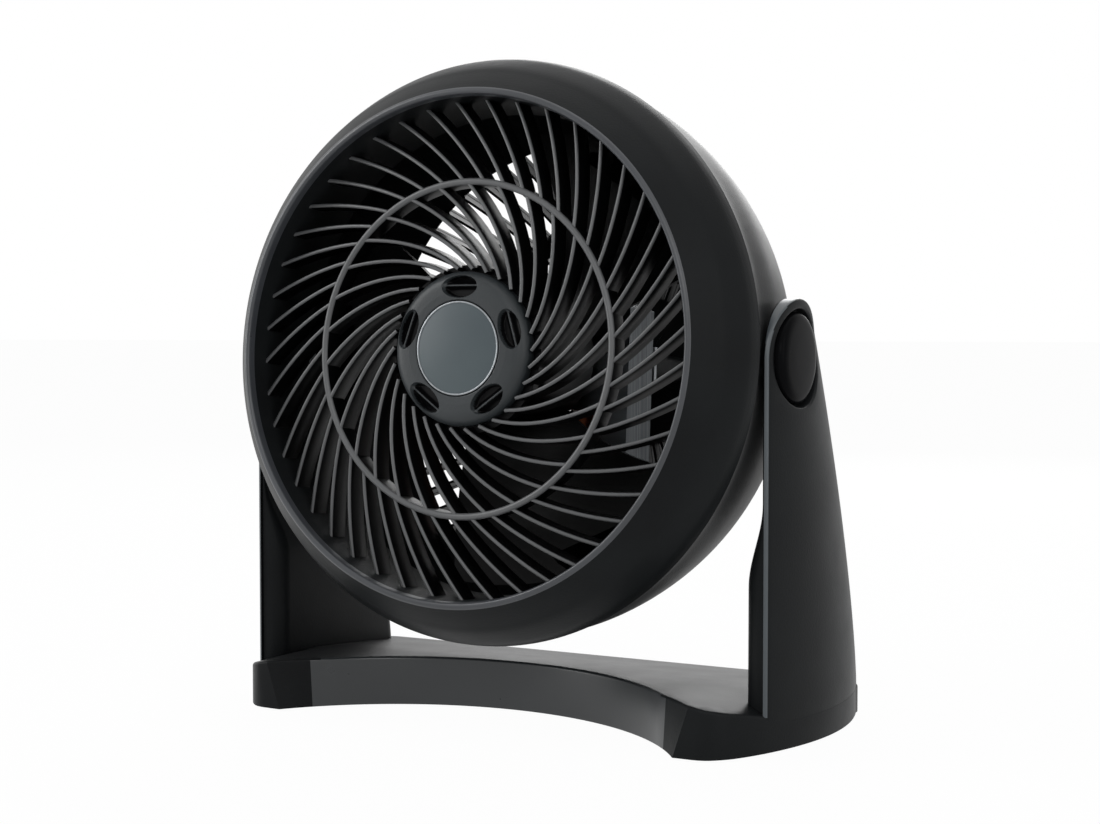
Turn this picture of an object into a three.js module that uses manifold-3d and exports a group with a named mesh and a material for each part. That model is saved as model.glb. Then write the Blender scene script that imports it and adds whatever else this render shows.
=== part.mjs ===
// Table-top air circulator fan: a round tilting head, carried between the two arms of a U-shaped stand.
//
// Millimetres, +Z up, the fan blows towards -Y. Inside the head, x is to the right, y is the distance
// behind the tilt axis (so the front is negative) and z is up from the fan's own axis.
import * as THREE from 'three';
import { mergeVertices } from 'three/addons/utils/BufferGeometryUtils.js';
import Module from 'manifold-3d';

const wasm = await Module();
wasm.setup();

// ---------------------------------------------------------------- driving dimensions

const GAP = 0.3; // clearance between two pieces that touch

// stand
const footPlanes = { rim: 0.8, sole: 0 }; // the shell's rim and the soles of the rubber feet
const standHalfWidth = 113.5; // half of the whole width; the arms and the head take theirs from it
const plinthHeight = 10.8; // height of the outer edge of the base
const crownRise = 8; // how much higher the middle of the front edge is
const wall = 3; // base shell
const prowReach = 40; // the two front tips, forward of the tilt axis
const prowWidth = 33.5; // from the opening between the tips to the base's widest point
const prowHalfGap = standHalfWidth - prowWidth;
const noseWidth = 11; // blunt end of each tip
const frontArcRadius = 98; // the base's hollow front
const armFootRear = 63; // rear edge of an arm at the base, behind the tilt axis
const rearReach = armFootRear + 5.5; // rear edge of the base
const rearCornerRadius = 11;

// arms
const tiltHeight = 131.2; // height of the tilt axis
const armTopRadius = 20;
const flareAngle = 25.8; // degrees, where the round top runs into the flaring rear edge
const armBelly = { front: 9, rear: 7 }; // how far the base's widest point stands out from the arms' two edges
const armFrontEdge = standHalfWidth - armBelly.front;
const armRearEdge = standHalfWidth - armBelly.rear;
const armInnerFace = armFrontEdge - 0.9; // the front edge's own thickness
const coverPanel = 0.9; // the arm's cover beside the head
const coverFace = armInnerFace - GAP - coverPanel;
const coverSwell = 6.9; // how much the cover thickens below the head
const swellTop = 82;
const swellBottom = 54;
const pocketRim = 3.4;
const pocketRadius = armTopRadius - pocketRim; // round pocket in the arm's outer face
const pocketFloor = armInnerFace + 1.5;
const capRadius = pocketRadius - 1;
const capDome = 1.6;

// head
const restTilt = 4.26; // degrees above level
const washerSpace = 1.3; // between the head and the arms' covers
const sideRadius = coverFace - washerSpace; // the rear housing beside the arms
const seamRadius = sideRadius + 2.3;
const seamReach = armTopRadius + 3.6; // the seam swings clear of the arms' round tops
const bezelWidth = 15.4;
const bezelDepth = 24.2;
const lipRadius = seamRadius - bezelWidth;
const lipReach = seamReach + bezelDepth; // front lip, forward of the tilt axis
const bezelBow = { radius: seamRadius - 2.7, reach: seamReach + 14.3 }; // what the bezel's curve pulls towards
const skin = 2.2; // wall of both head shells
const throatRadius = lipRadius - 1.4; // inside of the funnel behind the lip
const throatEnd = 12; // the funnel's rear end, forward of the tilt axis
const rearDepth = 99; // the head's rear wall, behind the tilt axis
const hubPlateRadius = 27.5; // solid middle of the rear wall

// front grille
const outerVanes = 45;
const innerVanes = 30;
const vaneStart = { outer: 3.6, inner: 6.3 }; // degrees, where the first of each set meets the ring
const vaneThickness = 1.9;
const vaneDepth = 8;
const ringRadius = 57.9;
const ringWidth = 2.4;
const ringReach = lipReach - 6.6;
const tipReach = lipReach - 9.8; // front edge of the vanes at the funnel
const hubReach = lipReach - 6.2; // and at the hub
const spiral = { turn: 52, ease: 9 }; // degrees per unit of ln r, and how fast that falls off
const hubRadius = 26.8;
const badgeRadius = 16.3;
const badgeReach = lipReach - 3.9;
const hubPlate = { radius: hubRadius - 1.2, front: badgeReach - 4.5, shoulder: badgeReach - 6.7, back: badgeReach - 10.3 };
const scoops = 5;
const scoopOrbit = 21.3;

// rear grille
const rearRibs = 48;
const ribThickness = 1.8;
const windowRows = [[0.365, 0.66], [0.7, 0.9]]; // shares of its outline

// rotor and motor
const bladeClearance = 4.1;
const impellerRadius = throatRadius - bladeClearance;
const impellerHubRadius = 24;
const impellerHubFront = hubPlate.back - 6.6; // leaves room for the nut
const impellerHubRear = 12;
const blades = 3;
const bladeSweep = { root: 62, tip: 78, rest: 40 }; // degrees covered by one blade, and where the first rests
const bladeClimb = { root: 30, tip: 24, middle: -6, bow: 3 }; // from its front edge to its rear edge
const bladeLean = 16; // degrees by which the tip runs ahead of the root
const bladeThickness = 2.2;
const shaftRadius = 3;
const stack = { start: 26, length: 20, bore: 14.3 };
const rotorRadius = 13.6;
const statorFrame = { half: 31, top: 24, foot: 38, corner: { x: 11, z: 4 } };
const coilWindow = { half: 17, high: 18, low: 29 };
const bearingRadius = 6.3;
const motorScrewSpan = 24;
const knobRadius = 14;
const knobHeight = 10;

// ---------------------------------------------------------------- materials

const plastic = (color, roughness) => new THREE.MeshStandardMaterial({ color, roughness, metalness: 0 });
const metal = (color, roughness) => new THREE.MeshStandardMaterial({ color, roughness, metalness: 1 });

const charcoal = plastic('#232426', 0.5);
const charcoalGloss = plastic('#1c1d1f', 0.25);
const hubGrey = plastic('#3c4043', 0.4);
const impellerBlack = plastic('#141516', 0.35);
const rubber = plastic('#1a1a1a', 0.85);
const steel = metal('#b9bcc0', 0.35);
const zinc = metal('#9fa3a6', 0.45);
const lamination = metal('#6f7276', 0.55);
const bronze = metal('#a6763c', 0.4);
const copper = metal('#a9552c', 0.4);
const connectorRed = plastic('#c8451d', 0.45);
const switchBlack = plastic('#26272a', 0.6);

// ---------------------------------------------------------------- solids

function flatTriangles(geometry) {
  const bare = geometry.clone();
  for (const name of Object.keys(bare.attributes)) {
    if (name !== 'position') bare.deleteAttribute(name);
  }
  const merged = mergeVertices(bare, 1e-4);
  const index = merged.index.array;
  const triangles = [];
  for (let i = 0; i < index.length; i += 3) {
    const [a, b, c] = [index[i], index[i + 1], index[i + 2]];
    if (a !== b && b !== c && c !== a) triangles.push(a, b, c);
  }
  return { points: merged.attributes.position.array, triangles };
}

function signedVolume(points, triangles) {
  const [a, b, c] = [new THREE.Vector3(), new THREE.Vector3(), new THREE.Vector3()];
  let six = 0;
  for (let i = 0; i < triangles.length; i += 3) {
    a.fromArray(points, 3 * triangles[i]);
    b.fromArray(points, 3 * triangles[i + 1]);
    c.fromArray(points, 3 * triangles[i + 2]);
    six += a.dot(b.cross(c));
  }
  return six / 6;
}

// A closed geometry as a solid that can be joined and cut, whichever way its faces were wound.
function solid(geometry) {
  const { points, triangles } = flatTriangles(geometry);
  if (signedVolume(points, triangles) < 0) triangles.reverse();
  return new wasm.Manifold(new wasm.Mesh({
    numProp: 3,
    vertProperties: new Float32Array(points),
    triVerts: new Uint32Array(triangles),
  }));
}

function join(list) {
  return list.reduce((all, one) => all.add(one));
}

function piece(name, body, material) {
  const { vertProperties, triVerts } = body.getMesh();
  const geometry = new THREE.BufferGeometry();
  geometry.setAttribute('position', new THREE.BufferAttribute(vertProperties, 3));
  geometry.setIndex(new THREE.BufferAttribute(triVerts, 1));
  geometry.computeVertexNormals();
  const mesh = new THREE.Mesh(geometry, material);
  mesh.name = name;
  return mesh;
}

// A skin over rings of equally many points, closed at both ends by the triangles in cap.
function loft(rings, cap = flatCap(rings[0])) {
  const count = rings[0].length;
  const positions = rings.flat().flatMap((p) => [p.x, p.y, p.z]);
  const index = [];
  for (let r = 0; r + 1 < rings.length; r += 1) {
    for (let i = 0; i < count; i += 1) {
      const a = r * count + i;
      const b = r * count + (i + 1) % count;
      index.push(a, b, b + count, a, b + count, a + count);
    }
  }
  const last = (rings.length - 1) * count;
  for (const [a, b, c] of cap) index.push(b, a, c, last + a, last + b, last + c);
  const geometry = new THREE.BufferGeometry();
  geometry.setAttribute('position', new THREE.Float32BufferAttribute(positions, 3));
  geometry.setIndex(index);
  return geometry;
}

// Triangles across a flat ring, worked out in the plane that the ring lies in.
function flatCap(ring) {
  const normal = new THREE.Vector3();
  ring.forEach((p, i) => normal.add(new THREE.Vector3().crossVectors(p, ring[(i + 1) % ring.length])));
  normal.normalize();
  const across = new THREE.Vector3().subVectors(ring[1], ring[0]).normalize();
  const along = new THREE.Vector3().crossVectors(normal, across);
  const outline = ring.map((p) => new THREE.Vector2(p.dot(across), p.dot(along)));
  return THREE.ShapeUtils.triangulateShape(outline, []);
}

// Triangles across a ring that is two facing rows of points: a strip from row to row.
function stripCap(count) {
  const triangles = [];
  for (let a = 0; a + 1 < count / 2; a += 1) {
    const [b, c, d] = [a + 1, count - 2 - a, count - 1 - a];
    triangles.push([a, b, c], [a, c, d]);
  }
  return triangles;
}

function turned(profile, segments) {
  const points = profile.map(([r, y]) => new THREE.Vector2(Math.max(r, 0), y));
  return solid(new THREE.LatheGeometry(points, segments));
}

// A round bar or tube along the head's axis, from one y to another.
function bar(radius, y0, y1, segments = 16, bore = 0) {
  const inner = bore ? [[bore, y0], [bore, y1]] : [[0, y0], [0, y1]];
  return turned([inner[0], [radius, y0], [radius, y1], inner[1], ...(bore ? [inner[0]] : [])], segments);
}

// A round bar or tube across the head, from one x to another.
function crossBar(radius, x0, x1, segments = 16, bore = 0) {
  return bar(radius, x0, x1, segments, bore).rotate([0, 0, -90]);
}

function block(x0, x1, y0, y1, z0, z1) {
  const geometry = new THREE.BoxGeometry(x1 - x0, y1 - y0, z1 - z0);
  geometry.translate((x0 + x1) / 2, (y0 + y1) / 2, (z0 + z1) / 2);
  return solid(geometry);
}

const mirrored = (body, side) => (side > 0 ? body : body.mirror([1, 0, 0]));
const sides = { left: -1, right: 1 };
const clamp01 = (t) => THREE.MathUtils.clamp(t, 0, 1);
const ease = (t) => THREE.MathUtils.smoothstep(t, 0, 1);
const rad = THREE.MathUtils.degToRad;

// ---------------------------------------------------------------- stand

const flareStart = tiltHeight + armTopRadius * Math.sin(rad(flareAngle));
const flareSpan = flareStart - plinthHeight;
const flareDepth = armFootRear - armTopRadius * Math.cos(rad(flareAngle));
const flarePower = Math.tan(rad(flareAngle)) * flareSpan / flareDepth;

// Front and rear edges of an arm at a height: upright in front, flaring behind, round at the top.
function armFront(z) {
  const up = z - tiltHeight;
  return up > 0 ? -Math.sqrt(Math.max(armTopRadius ** 2 - up ** 2, 0)) : -armTopRadius;
}

function armRear(z) {
  if (z > flareStart) return Math.sqrt(Math.max(armTopRadius ** 2 - (z - tiltHeight) ** 2, 0));
  return armFootRear - flareDepth * (Math.max(z - plinthHeight, 0) / flareSpan) ** flarePower;
}

const footWidth = armFootRear + armTopRadius;
const footBelly = standHalfWidth - (armFrontEdge + armRearEdge) / 2;
const BELLY_POWER = 1.24; // the belly shrinks a little faster than the arm narrows

// The arm's convex outer face, level by level.
function outerFace(z, share) {
  const front = armFront(z);
  const rear = armRear(z);
  const belly = footBelly * ((rear - front) / footWidth) ** BELLY_POWER;
  const x = THREE.MathUtils.lerp(armFrontEdge, armRearEdge, share) + belly * 4 * share * (1 - share);
  return new THREE.Vector3(x, THREE.MathUtils.lerp(front, rear, share), z);
}

const FACE_STEPS = 7;
const faceShares = Array.from({ length: FACE_STEPS + 1 }, (_, i) => i / FACE_STEPS);
const topAngles = [flareAngle, 40, 54, 67, 78, 86];
const armLevels = [
  4, plinthHeight, 24, 38, 52, 66, 80, 94, 108, 120, tiltHeight,
  ...topAngles.map((a) => tiltHeight + armTopRadius * Math.sin(rad(a))),
];

function armSolid() {
  const rings = armLevels.map((z) => {
    const outer = faceShares.map((share) => outerFace(z, share));
    return [
      new THREE.Vector3(armInnerFace, armFront(z), z),
      ...outer,
      new THREE.Vector3(armInnerFace, armRear(z), z),
    ];
  });
  return solid(loft(rings));
}

// The base's outline from above. The hollow front is an arc about a point ahead of the base.
const frontArcCentre = -prowReach - Math.sqrt(frontArcRadius ** 2 - prowHalfGap ** 2);
const frontMiddle = frontArcCentre + frontArcRadius;

function baseOutline(inset) {
  const arc = frontArcRadius + inset;
  const tip = -prowReach + inset * 1.3;
  const gap = Math.sqrt(arc ** 2 - (tip - frontArcCentre) ** 2);
  const corner = rearCornerRadius - inset;
  const right = [];
  right.push([gap, tip]);
  right.push([prowHalfGap + noseWidth - inset * 0.6, tip]);
  right.push([standHalfWidth - 15.2 - inset, 7 - prowReach + inset]);
  right.push([standHalfWidth - 11.5 - inset, 14 - prowReach + inset * 0.5]);
  for (const share of faceShares) {
    const p = outerFace(plinthHeight, share);
    if (p.y < rearReach - rearCornerRadius) right.push([p.x - inset, p.y]);
  }
  const cx = armRearEdge - rearCornerRadius;
  const cy = rearReach - rearCornerRadius;
  for (const a of [15, 40, 65, 90]) {
    right.push([cx + corner * Math.cos(rad(a)), cy + corner * Math.sin(rad(a))]);
  }
  const left = right.map(([x, y]) => [-x, y]).reverse();
  const hollow = [];
  const half = Math.asin(gap / arc);
  const steps = 16;
  for (let i = 1; i < steps; i += 1) {
    const a = half * (2 * i / steps - 1);
    hollow.push([arc * Math.sin(a), frontArcCentre + arc * Math.cos(a)]);
  }
  return new THREE.Shape([...right, ...left, ...hollow].map(([x, y]) => new THREE.Vector2(x, y)));
}

function prism(shape, z0, z1) {
  const geometry = new THREE.ExtrudeGeometry(shape, { depth: z1 - z0, bevelEnabled: false });
  geometry.translate(0, 0, z0);
  return solid(geometry);
}

// The top of the base: highest along the hollow front, falling to the rear and rolling off at the sides.
const crownFlat = 55;

function deckHeight(x, y) {
  const roll = clamp01((Math.abs(x) - crownFlat) / (standHalfWidth - 5 - crownFlat)) ** 4;
  const fall = clamp01((y - frontMiddle) / (rearReach - frontMiddle)) ** 1.2;
  return plinthHeight + crownRise * (1 - roll) * (1 - fall);
}

// Everything below a surface lifted from the deck, or everything above it.
function deckBody(lift, limit) {
  const half = [0, 0.2, 0.38, 0.54, 0.68, 0.8, 1].map((share) => (
    THREE.MathUtils.lerp(crownFlat, standHalfWidth + 6.5, share)
  ));
  const xs = [...half.map((x) => -x).reverse(), ...half];
  const fall = [0, 0.31, 0.65, 1].map((share) => THREE.MathUtils.lerp(frontMiddle, rearReach, share));
  const ys = [-prowReach - 10, ...fall, rearReach + 11.5];
  const rings = xs.map((x) => [
    new THREE.Vector3(x, ys[0], limit),
    ...ys.map((y) => new THREE.Vector3(x, y, deckHeight(x, y) + lift)),
    new THREE.Vector3(x, ys[ys.length - 1], limit),
  ]);
  return solid(loft(rings));
}

const footPlaces = [[standHalfWidth - 27.5, 21 - prowReach], [standHalfWidth - 21.5, rearReach - 14.5]];
const screwPlaces = [[standHalfWidth - 47.5, 42 - prowReach], [standHalfWidth - 47.5, rearReach - 10.5]];
const plateBottom = footPlanes.rim + 0.4;
const plateThickness = 2;
const plateTop = plateBottom + plateThickness;
const screwTop = 8.6;

function everySide(places) {
  return places.flatMap(([x, y], i) => Object.entries(sides).map(([side, sign]) => (
    { name: `${i ? 'rear' : 'front'}_${side}`, x: sign * x, y }
  )));
}

// An upright bar in the base, from one height to another.
function post(radius, place, z0, z1, segments = 12, bore = 0) {
  return bar(radius, z0, z1, segments, bore).rotate([90, 0, 0]).translate([place.x, place.y, 0]);
}

const tiltBore = 4.4;

function standShell() {
  const outside = prism(baseOutline(0), footPlanes.rim, 30).intersect(deckBody(0, -10));
  const inside = prism(baseOutline(wall), -5, 30).intersect(deckBody(-wall, -10));
  const posts = everySide(screwPlaces).map((place) => (
    post(4, place, plateTop + GAP, deckHeight(place.x, place.y) - wall / 2)
  ));
  const holes = everySide(screwPlaces).map((place) => post(1.9, place, 0, screwTop + GAP));
  let body = outside.subtract(inside).add(join(posts));
  for (const sign of Object.values(sides)) {
    const pocket = crossBar(pocketRadius, pocketFloor, standHalfWidth + 5, 28);
    const bore = crossBar(tiltBore, armInnerFace - 5, standHalfWidth + 5, 16);
    const arm = armSolid().subtract(pocket.add(bore).translate([0, 0, tiltHeight]));
    body = body.add(mirrored(arm, sign));
  }
  return body.subtract(join(holes));
}

// Inner cover of an arm: thin beside the head, swelling below it in an S.
const coverInset = 1.1;

function coverSolid() {
  const outerPlane = armInnerFace - GAP;
  const rings = armLevels.slice(0, -1).flatMap((z) => {
    const swell = coverSwell * ease((swellTop - z) / (swellTop - swellBottom));
    const face = coverFace - swell;
    const front = armFront(z) + coverInset;
    const rear = armRear(z) - coverInset;
    const round = Math.min(2 + swell * 0.6, (rear - front) / 3);
    return [[
      new THREE.Vector3(outerPlane, front, z),
      new THREE.Vector3(outerPlane, rear, z),
      new THREE.Vector3(face + swell * 0.35, rear - round * 0.25, z),
      new THREE.Vector3(face, rear - round, z),
      new THREE.Vector3(face, front + round, z),
      new THREE.Vector3(face + swell * 0.35, front + round * 0.25, z),
    ]];
  });
  const bore = crossBar(tiltBore, coverFace - 10, armInnerFace + 5, 20).translate([0, 0, tiltHeight]);
  return solid(loft(rings)).intersect(deckBody(GAP, 220)).subtract(bore);
}

function basePlate() {
  const plate = prism(baseOutline(wall + 3 * GAP), plateBottom, plateTop);
  const cuts = [];
  for (const place of everySide(screwPlaces)) cuts.push(post(2.2, place, 0, 8));
  for (const sign of Object.values(sides)) {
    const x = sign * 38;
    cuts.push(post(5, { x, y: 30 }, 0, 8), post(2.5, { x, y: 42 }, 0, 8));
    cuts.push(block(x - 2.5, x + 2.5, 30, 42, 0, 8));
  }
  const seats = everySide(footPlaces).map((place) => post(7.3, place, 0, plateTop - 1));
  return plate.subtract(join([...cuts, ...seats]));
}

const stand = new THREE.Group();
stand.add(piece('stand_shell', standShell(), charcoal));
for (const [side, sign] of Object.entries(sides)) {
  stand.add(piece(`arm_cover_${side}`, mirrored(coverSolid(), sign), charcoal));
}
stand.add(piece('base_plate', basePlate(), charcoal));
for (const place of everySide(footPlaces)) {
  const sole = post(7, place, footPlanes.sole, plateTop - 1 - GAP);
  stand.add(piece(`foot_${place.name}`, sole, rubber));
}
for (const place of everySide(screwPlaces)) {
  const shank = post(1.6, place, plateBottom - 0.6, screwTop);
  const screwHead = post(3.2, place, footPlanes.sole + 0.4, plateBottom - GAP);
  stand.add(piece(`base_screw_${place.name}`, shank.add(screwHead), zinc));
}

// Domed caps that close the pockets over the tilt screws, each with a small moulded notch.
const capFloor = pocketFloor + 2.1;

function pivotCap() {
  const dome = [[0, capFloor], [capRadius, capFloor], [capRadius, capFloor + 0.6], [capRadius * 0.8, capFloor + 1.5],
    [capRadius * 0.5, capFloor + capDome + 0.4], [0, capFloor + capDome + 0.6]];
  const skirt = bar(capRadius, pocketFloor + GAP, capFloor + 0.4, 20, capRadius - 1.6);
  const notch = bar(2, capFloor + capDome - 0.6, capFloor + 8, 12).translate([0, 0, -capRadius * 0.55]);
  return turned(dome, 20).add(skirt).subtract(notch).rotate([0, 0, -90]);
}

for (const [side, sign] of Object.entries(sides)) {
  const cap = mirrored(pivotCap(), sign).translate([0, 0, tiltHeight]);
  stand.add(piece(`pivot_cap_${side}`, cap, charcoalGloss));
  const washer = crossBar(10, sideRadius + 0.6, coverFace - GAP, 16, tiltBore);
  stand.add(piece(`tilt_washer_${side}`, mirrored(washer, sign).translate([0, 0, tiltHeight]), steel));
}

// ---------------------------------------------------------------- head: front shell with its grille

function curvePoints(curve, steps) {
  return curve.getPoints(steps).map((p) => [p.x, p.y]);
}

function bezelSection() {
  const bow = (inset) => new THREE.QuadraticBezierCurve(
    new THREE.Vector2(seamRadius - inset, -seamReach),
    new THREE.Vector2(bezelBow.radius - inset, -bezelBow.reach + inset * 0.7),
    new THREE.Vector2(lipRadius + 1.1, -lipReach + 0.5 + inset * 1.3),
  );
  const outer = curvePoints(bow(0), 5);
  const inner = curvePoints(bow(skin), 3).reverse();
  const lip = [[lipRadius, -lipReach], [lipRadius - 0.9, -lipReach + 0.5], [throatRadius + 0.1, -lipReach + 2.6]];
  const throat = [[throatRadius, -tipReach - 1], [throatRadius - 0.6, -throatEnd]];
  const back = [[throatRadius + skin - 0.8, -throatEnd], [throatRadius + skin, -lipReach + 7]];
  return [...outer, ...lip, ...throat, ...back, ...inner, outer[0]];
}

const vaneAngle = (r) => {
  const l = Math.log(r / ringRadius);
  return rad(spiral.turn * l - spiral.ease * l * l);
};

// Front edge of a vane at a radius: highest at the ring, a little lower at the funnel.
function vaneReach(r) {
  if (r < ringRadius) return THREE.MathUtils.mapLinear(r, hubRadius, ringRadius, hubReach, ringReach);
  return THREE.MathUtils.mapLinear(r, ringRadius, throatRadius, ringReach, tipReach);
}

// A thin fin along the spiral between two radii.
function vane(fromRadius, toRadius, start, steps) {
  const at = (r) => {
    const a = start + vaneAngle(r);
    return new THREE.Vector3(r * Math.cos(a), -vaneReach(r), r * Math.sin(a));
  };
  const rings = [];
  for (let i = 0; i <= steps; i += 1) {
    const r = THREE.MathUtils.lerp(fromRadius, toRadius, i / steps);
    const p = at(r);
    const along = new THREE.Vector3().subVectors(at(r + 0.5), at(r - 0.5)).setY(0).normalize();
    const across = new THREE.Vector3(-along.z, 0, along.x).multiplyScalar(vaneThickness / 2);
    const back = new THREE.Vector3(0, vaneDepth, 0);
    rings.push([
      p.clone().add(across), p.clone().sub(across),
      p.clone().sub(across).add(back), p.clone().add(across).add(back),
    ]);
  }
  return solid(loft(rings));
}

function grilleSolid() {
  const parts = [];
  const outer = vane(ringRadius, throatRadius + 0.9, rad(vaneStart.outer), 3);
  for (let i = 0; i < outerVanes; i += 1) parts.push(outer.rotate([0, 360 * i / outerVanes, 0]));
  const inner = vane(hubRadius + 1.1, ringRadius, rad(vaneStart.inner), 3);
  for (let i = 0; i < innerVanes; i += 1) parts.push(inner.rotate([0, 360 * i / innerVanes, 0]));
  const half = ringWidth / 2;
  parts.push(turned([
    [ringRadius - half, -ringReach + 0.4], [ringRadius, -ringReach - 0.4], [ringRadius + half, -ringReach + 0.4],
    [ringRadius + half, -ringReach + vaneDepth], [ringRadius - half, -ringReach + vaneDepth],
    [ringRadius - half, -ringReach + 0.4],
  ], 45));
  parts.push(turned([
    [0, -hubPlate.front], [hubPlate.radius, -hubPlate.front], [hubPlate.radius, -hubPlate.shoulder],
    [hubRadius + 2.6, -hubPlate.shoulder], [hubRadius + 2.6, -hubPlate.back], [0, -hubPlate.back],
  ], 30));
  return wasm.Manifold.union(parts);
}

const headScrews = [45, 135, 225, 315];
const screwOrbit = seamRadius - 9;
const bossEnd = seamReach - 9.6; // where the front shell's bosses meet the rear housing's

function around(angle, orbit) {
  return [orbit * Math.cos(rad(angle)), 0, orbit * Math.sin(rad(angle))];
}

function frontShell() {
  const shell = turned(bezelSection(), 45);
  const bosses = headScrews.flatMap((a) => [
    bar(4.2, -bossEnd - 20, -bossEnd, 10).translate(around(a, screwOrbit)),
    block(throatRadius + 0.6, screwOrbit, -bossEnd - 16, -bossEnd, -0.9, 0.9).rotate([0, -a, 0]),
  ]);
  const holes = headScrews.map((a) => bar(1.9, -bossEnd - 16, -bossEnd + 4, 8).translate(around(a, screwOrbit)));
  return shell.add(join(bosses)).subtract(join(holes)).add(grilleSolid());
}

// The hub cap: a low dome with a round seat for the badge and five scooped ovals around it.
function hubCap() {
  const rim = new THREE.QuadraticBezierCurve(
    new THREE.Vector2(badgeRadius + 1.2, -badgeReach - 0.3),
    new THREE.Vector2(hubRadius - 0.6, -badgeReach + 0.2),
    new THREE.Vector2(hubRadius, -hubPlate.front + 1.4),
  );
  const seat = -badgeReach + 1.6;
  const dome = turned([
    [0, seat], [badgeRadius + 0.3, seat], [badgeRadius + 0.3, -badgeReach - 0.1], ...curvePoints(rim, 4),
    [hubRadius - 0.3, -hubPlate.shoulder - GAP], [hubPlate.radius + GAP, -hubPlate.shoulder - GAP],
    [hubPlate.radius + GAP, -hubPlate.front - GAP], [0, -hubPlate.front - GAP],
  ], 30);
  const scoop = new THREE.SphereGeometry(1, 8, 6);
  const cuts = [];
  for (let i = 0; i < scoops; i += 1) {
    for (const side of [-1, 1]) {
      const oval = solid(scoop.clone().scale(6.6, 2.9, 1.75).translate(0, -badgeReach + 0.3, scoopOrbit + side * 1.95));
      cuts.push(oval.rotate([0, 360 * i / scoops, 0]));
    }
  }
  return dome.subtract(join(cuts));
}

const head = new THREE.Group();
head.add(piece('front_shell', frontShell(), charcoal));
head.add(piece('hub_cap', hubCap(), hubGrey));
head.add(piece('badge_disc', turned([
  [0, -badgeReach + 1.3], [badgeRadius, -badgeReach + 1.3], [badgeRadius, -badgeReach + 0.3],
  [badgeRadius - 0.4, -badgeReach], [0, -badgeReach - 0.25],
], 30), hubGrey));

// ---------------------------------------------------------------- head: rear housing

const housingFront = -seamReach + GAP;
const domeShares = [[0.9595, 0.202], [0.8853, 0.404], [0.7814, 0.606], [0.6429, 0.798], [0.4946, 0.919], [0.3363, 0.9838]];
const rearLine = new THREE.SplineCurve([
  [seamRadius - 0.8, housingFront], [sideRadius + 0.5, housingFront + 6.3], [sideRadius, 0],
  ...domeShares.map(([across, back]) => [across * sideRadius, back * rearDepth]), [0, rearDepth],
].map(([r, y]) => new THREE.Vector2(r, y)));

// The rear wall, with few bends where the windows are.
function rearSection() {
  const shares = [0, 0.11, 0.22, 0.34, 0.51, 0.68, 0.8, 0.92, 1];
  const outer = shares.map((share) => rearLine.getPoint(share)).map((p) => [p.x, p.y]);
  const inner = outer.map(([r, y], i) => {
    const before = outer[Math.max(i - 1, 0)];
    const after = outer[Math.min(i + 1, outer.length - 1)];
    const along = new THREE.Vector2(after[0] - before[0], after[1] - before[1]).normalize();
    return [Math.max(r - along.y * skin, 0), y + along.x * skin];
  });
  inner[0][1] = housingFront;
  inner[inner.length - 1][0] = 0;
  return [...outer, ...inner.reverse(), outer[0]];
}

// One closed ring that straddles the rear wall between two shares of its outline.
function rowCutter([from, to]) {
  const reach = 7;
  const a = rearLine.getPoint(from);
  const b = rearLine.getPoint(to);
  const along = new THREE.Vector2().subVectors(b, a).normalize();
  const out = new THREE.Vector2(along.y, -along.x).multiplyScalar(reach);
  const corners = [a.clone().add(out), b.clone().add(out), b.clone().sub(out), a.clone().sub(out)];
  const loop = [...corners, corners[0]].map((p) => [Math.max(p.x, 2), p.y]);
  return turned(loop, rearRibs);
}

function rearWindows() {
  const rows = windowRows.map(rowCutter);
  const ribs = [];
  const plank = block(-seamRadius - 10, seamRadius + 10, -10, rearDepth + 10, -ribThickness / 2, ribThickness / 2);
  for (let i = 0; i < rearRibs / 2; i += 1) ribs.push(plank.rotate([0, 360 * i / rearRibs, 0]));
  return wasm.Manifold.union(rows).subtract(wasm.Manifold.union(ribs));
}

const switchPlace = { start: 80, end: rearDepth - skin - GAP - 1 };
const glandPlace = [0, 0, -21];
const motorEnd = stack.start + stack.length + 8;

function rearHousing() {
  const shell = turned(rearSection(), rearRibs);
  const cuts = [rearWindows()];
  const adds = [];
  for (const a of headScrews) {
    adds.push(bar(5.2, -bossEnd + GAP, -bossEnd + 8, 10).translate(around(a, screwOrbit)));
    cuts.push(bar(2, -bossEnd - 6, -bossEnd + 14, 8).translate(around(a, screwOrbit)));
  }
  for (const sign of Object.values(sides)) {
    adds.push(bar(5, motorEnd + GAP, rearDepth - 1.5, 14).translate([sign * motorScrewSpan, 0, 0]));
    cuts.push(bar(2.1, motorEnd - 2, motorEnd + 14, 10).translate([sign * motorScrewSpan, 0, 0]));
    adds.push(mirrored(crossBar(12, sideRadius - 8, sideRadius + GAP, 20), sign));
    cuts.push(mirrored(crossBar(3.4, sideRadius - 10, sideRadius + 4, 16), sign));
  }
  cuts.push(bar(4.2, rearDepth - 8, rearDepth + 8, 16));
  cuts.push(bar(3.6, rearDepth - 8, rearDepth + 8, 16).translate(glandPlace));
  return shell.subtract(cuts[0]).add(join(adds)).subtract(join(cuts.slice(1)));
}

head.add(piece('rear_housing', rearHousing(), charcoal));
headScrews.forEach((a, i) => {
  const shank = bar(1.6, -bossEnd - 14, -bossEnd + 10, 8).add(bar(3.2, -bossEnd + 8 + GAP, -bossEnd + 10.4, 10));
  head.add(piece(`head_screw_${i + 1}`, shank.translate(around(a, screwOrbit)), zinc));
});
for (const [side, sign] of Object.entries(sides)) {
  const screw = crossBar(3.1, sideRadius - 7, pocketFloor + 1, 16).add(crossBar(8, pocketFloor + GAP, pocketFloor + 1.7, 16));
  head.add(piece(`tilt_screw_${side}`, mirrored(screw, sign), steel));
}

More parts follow.
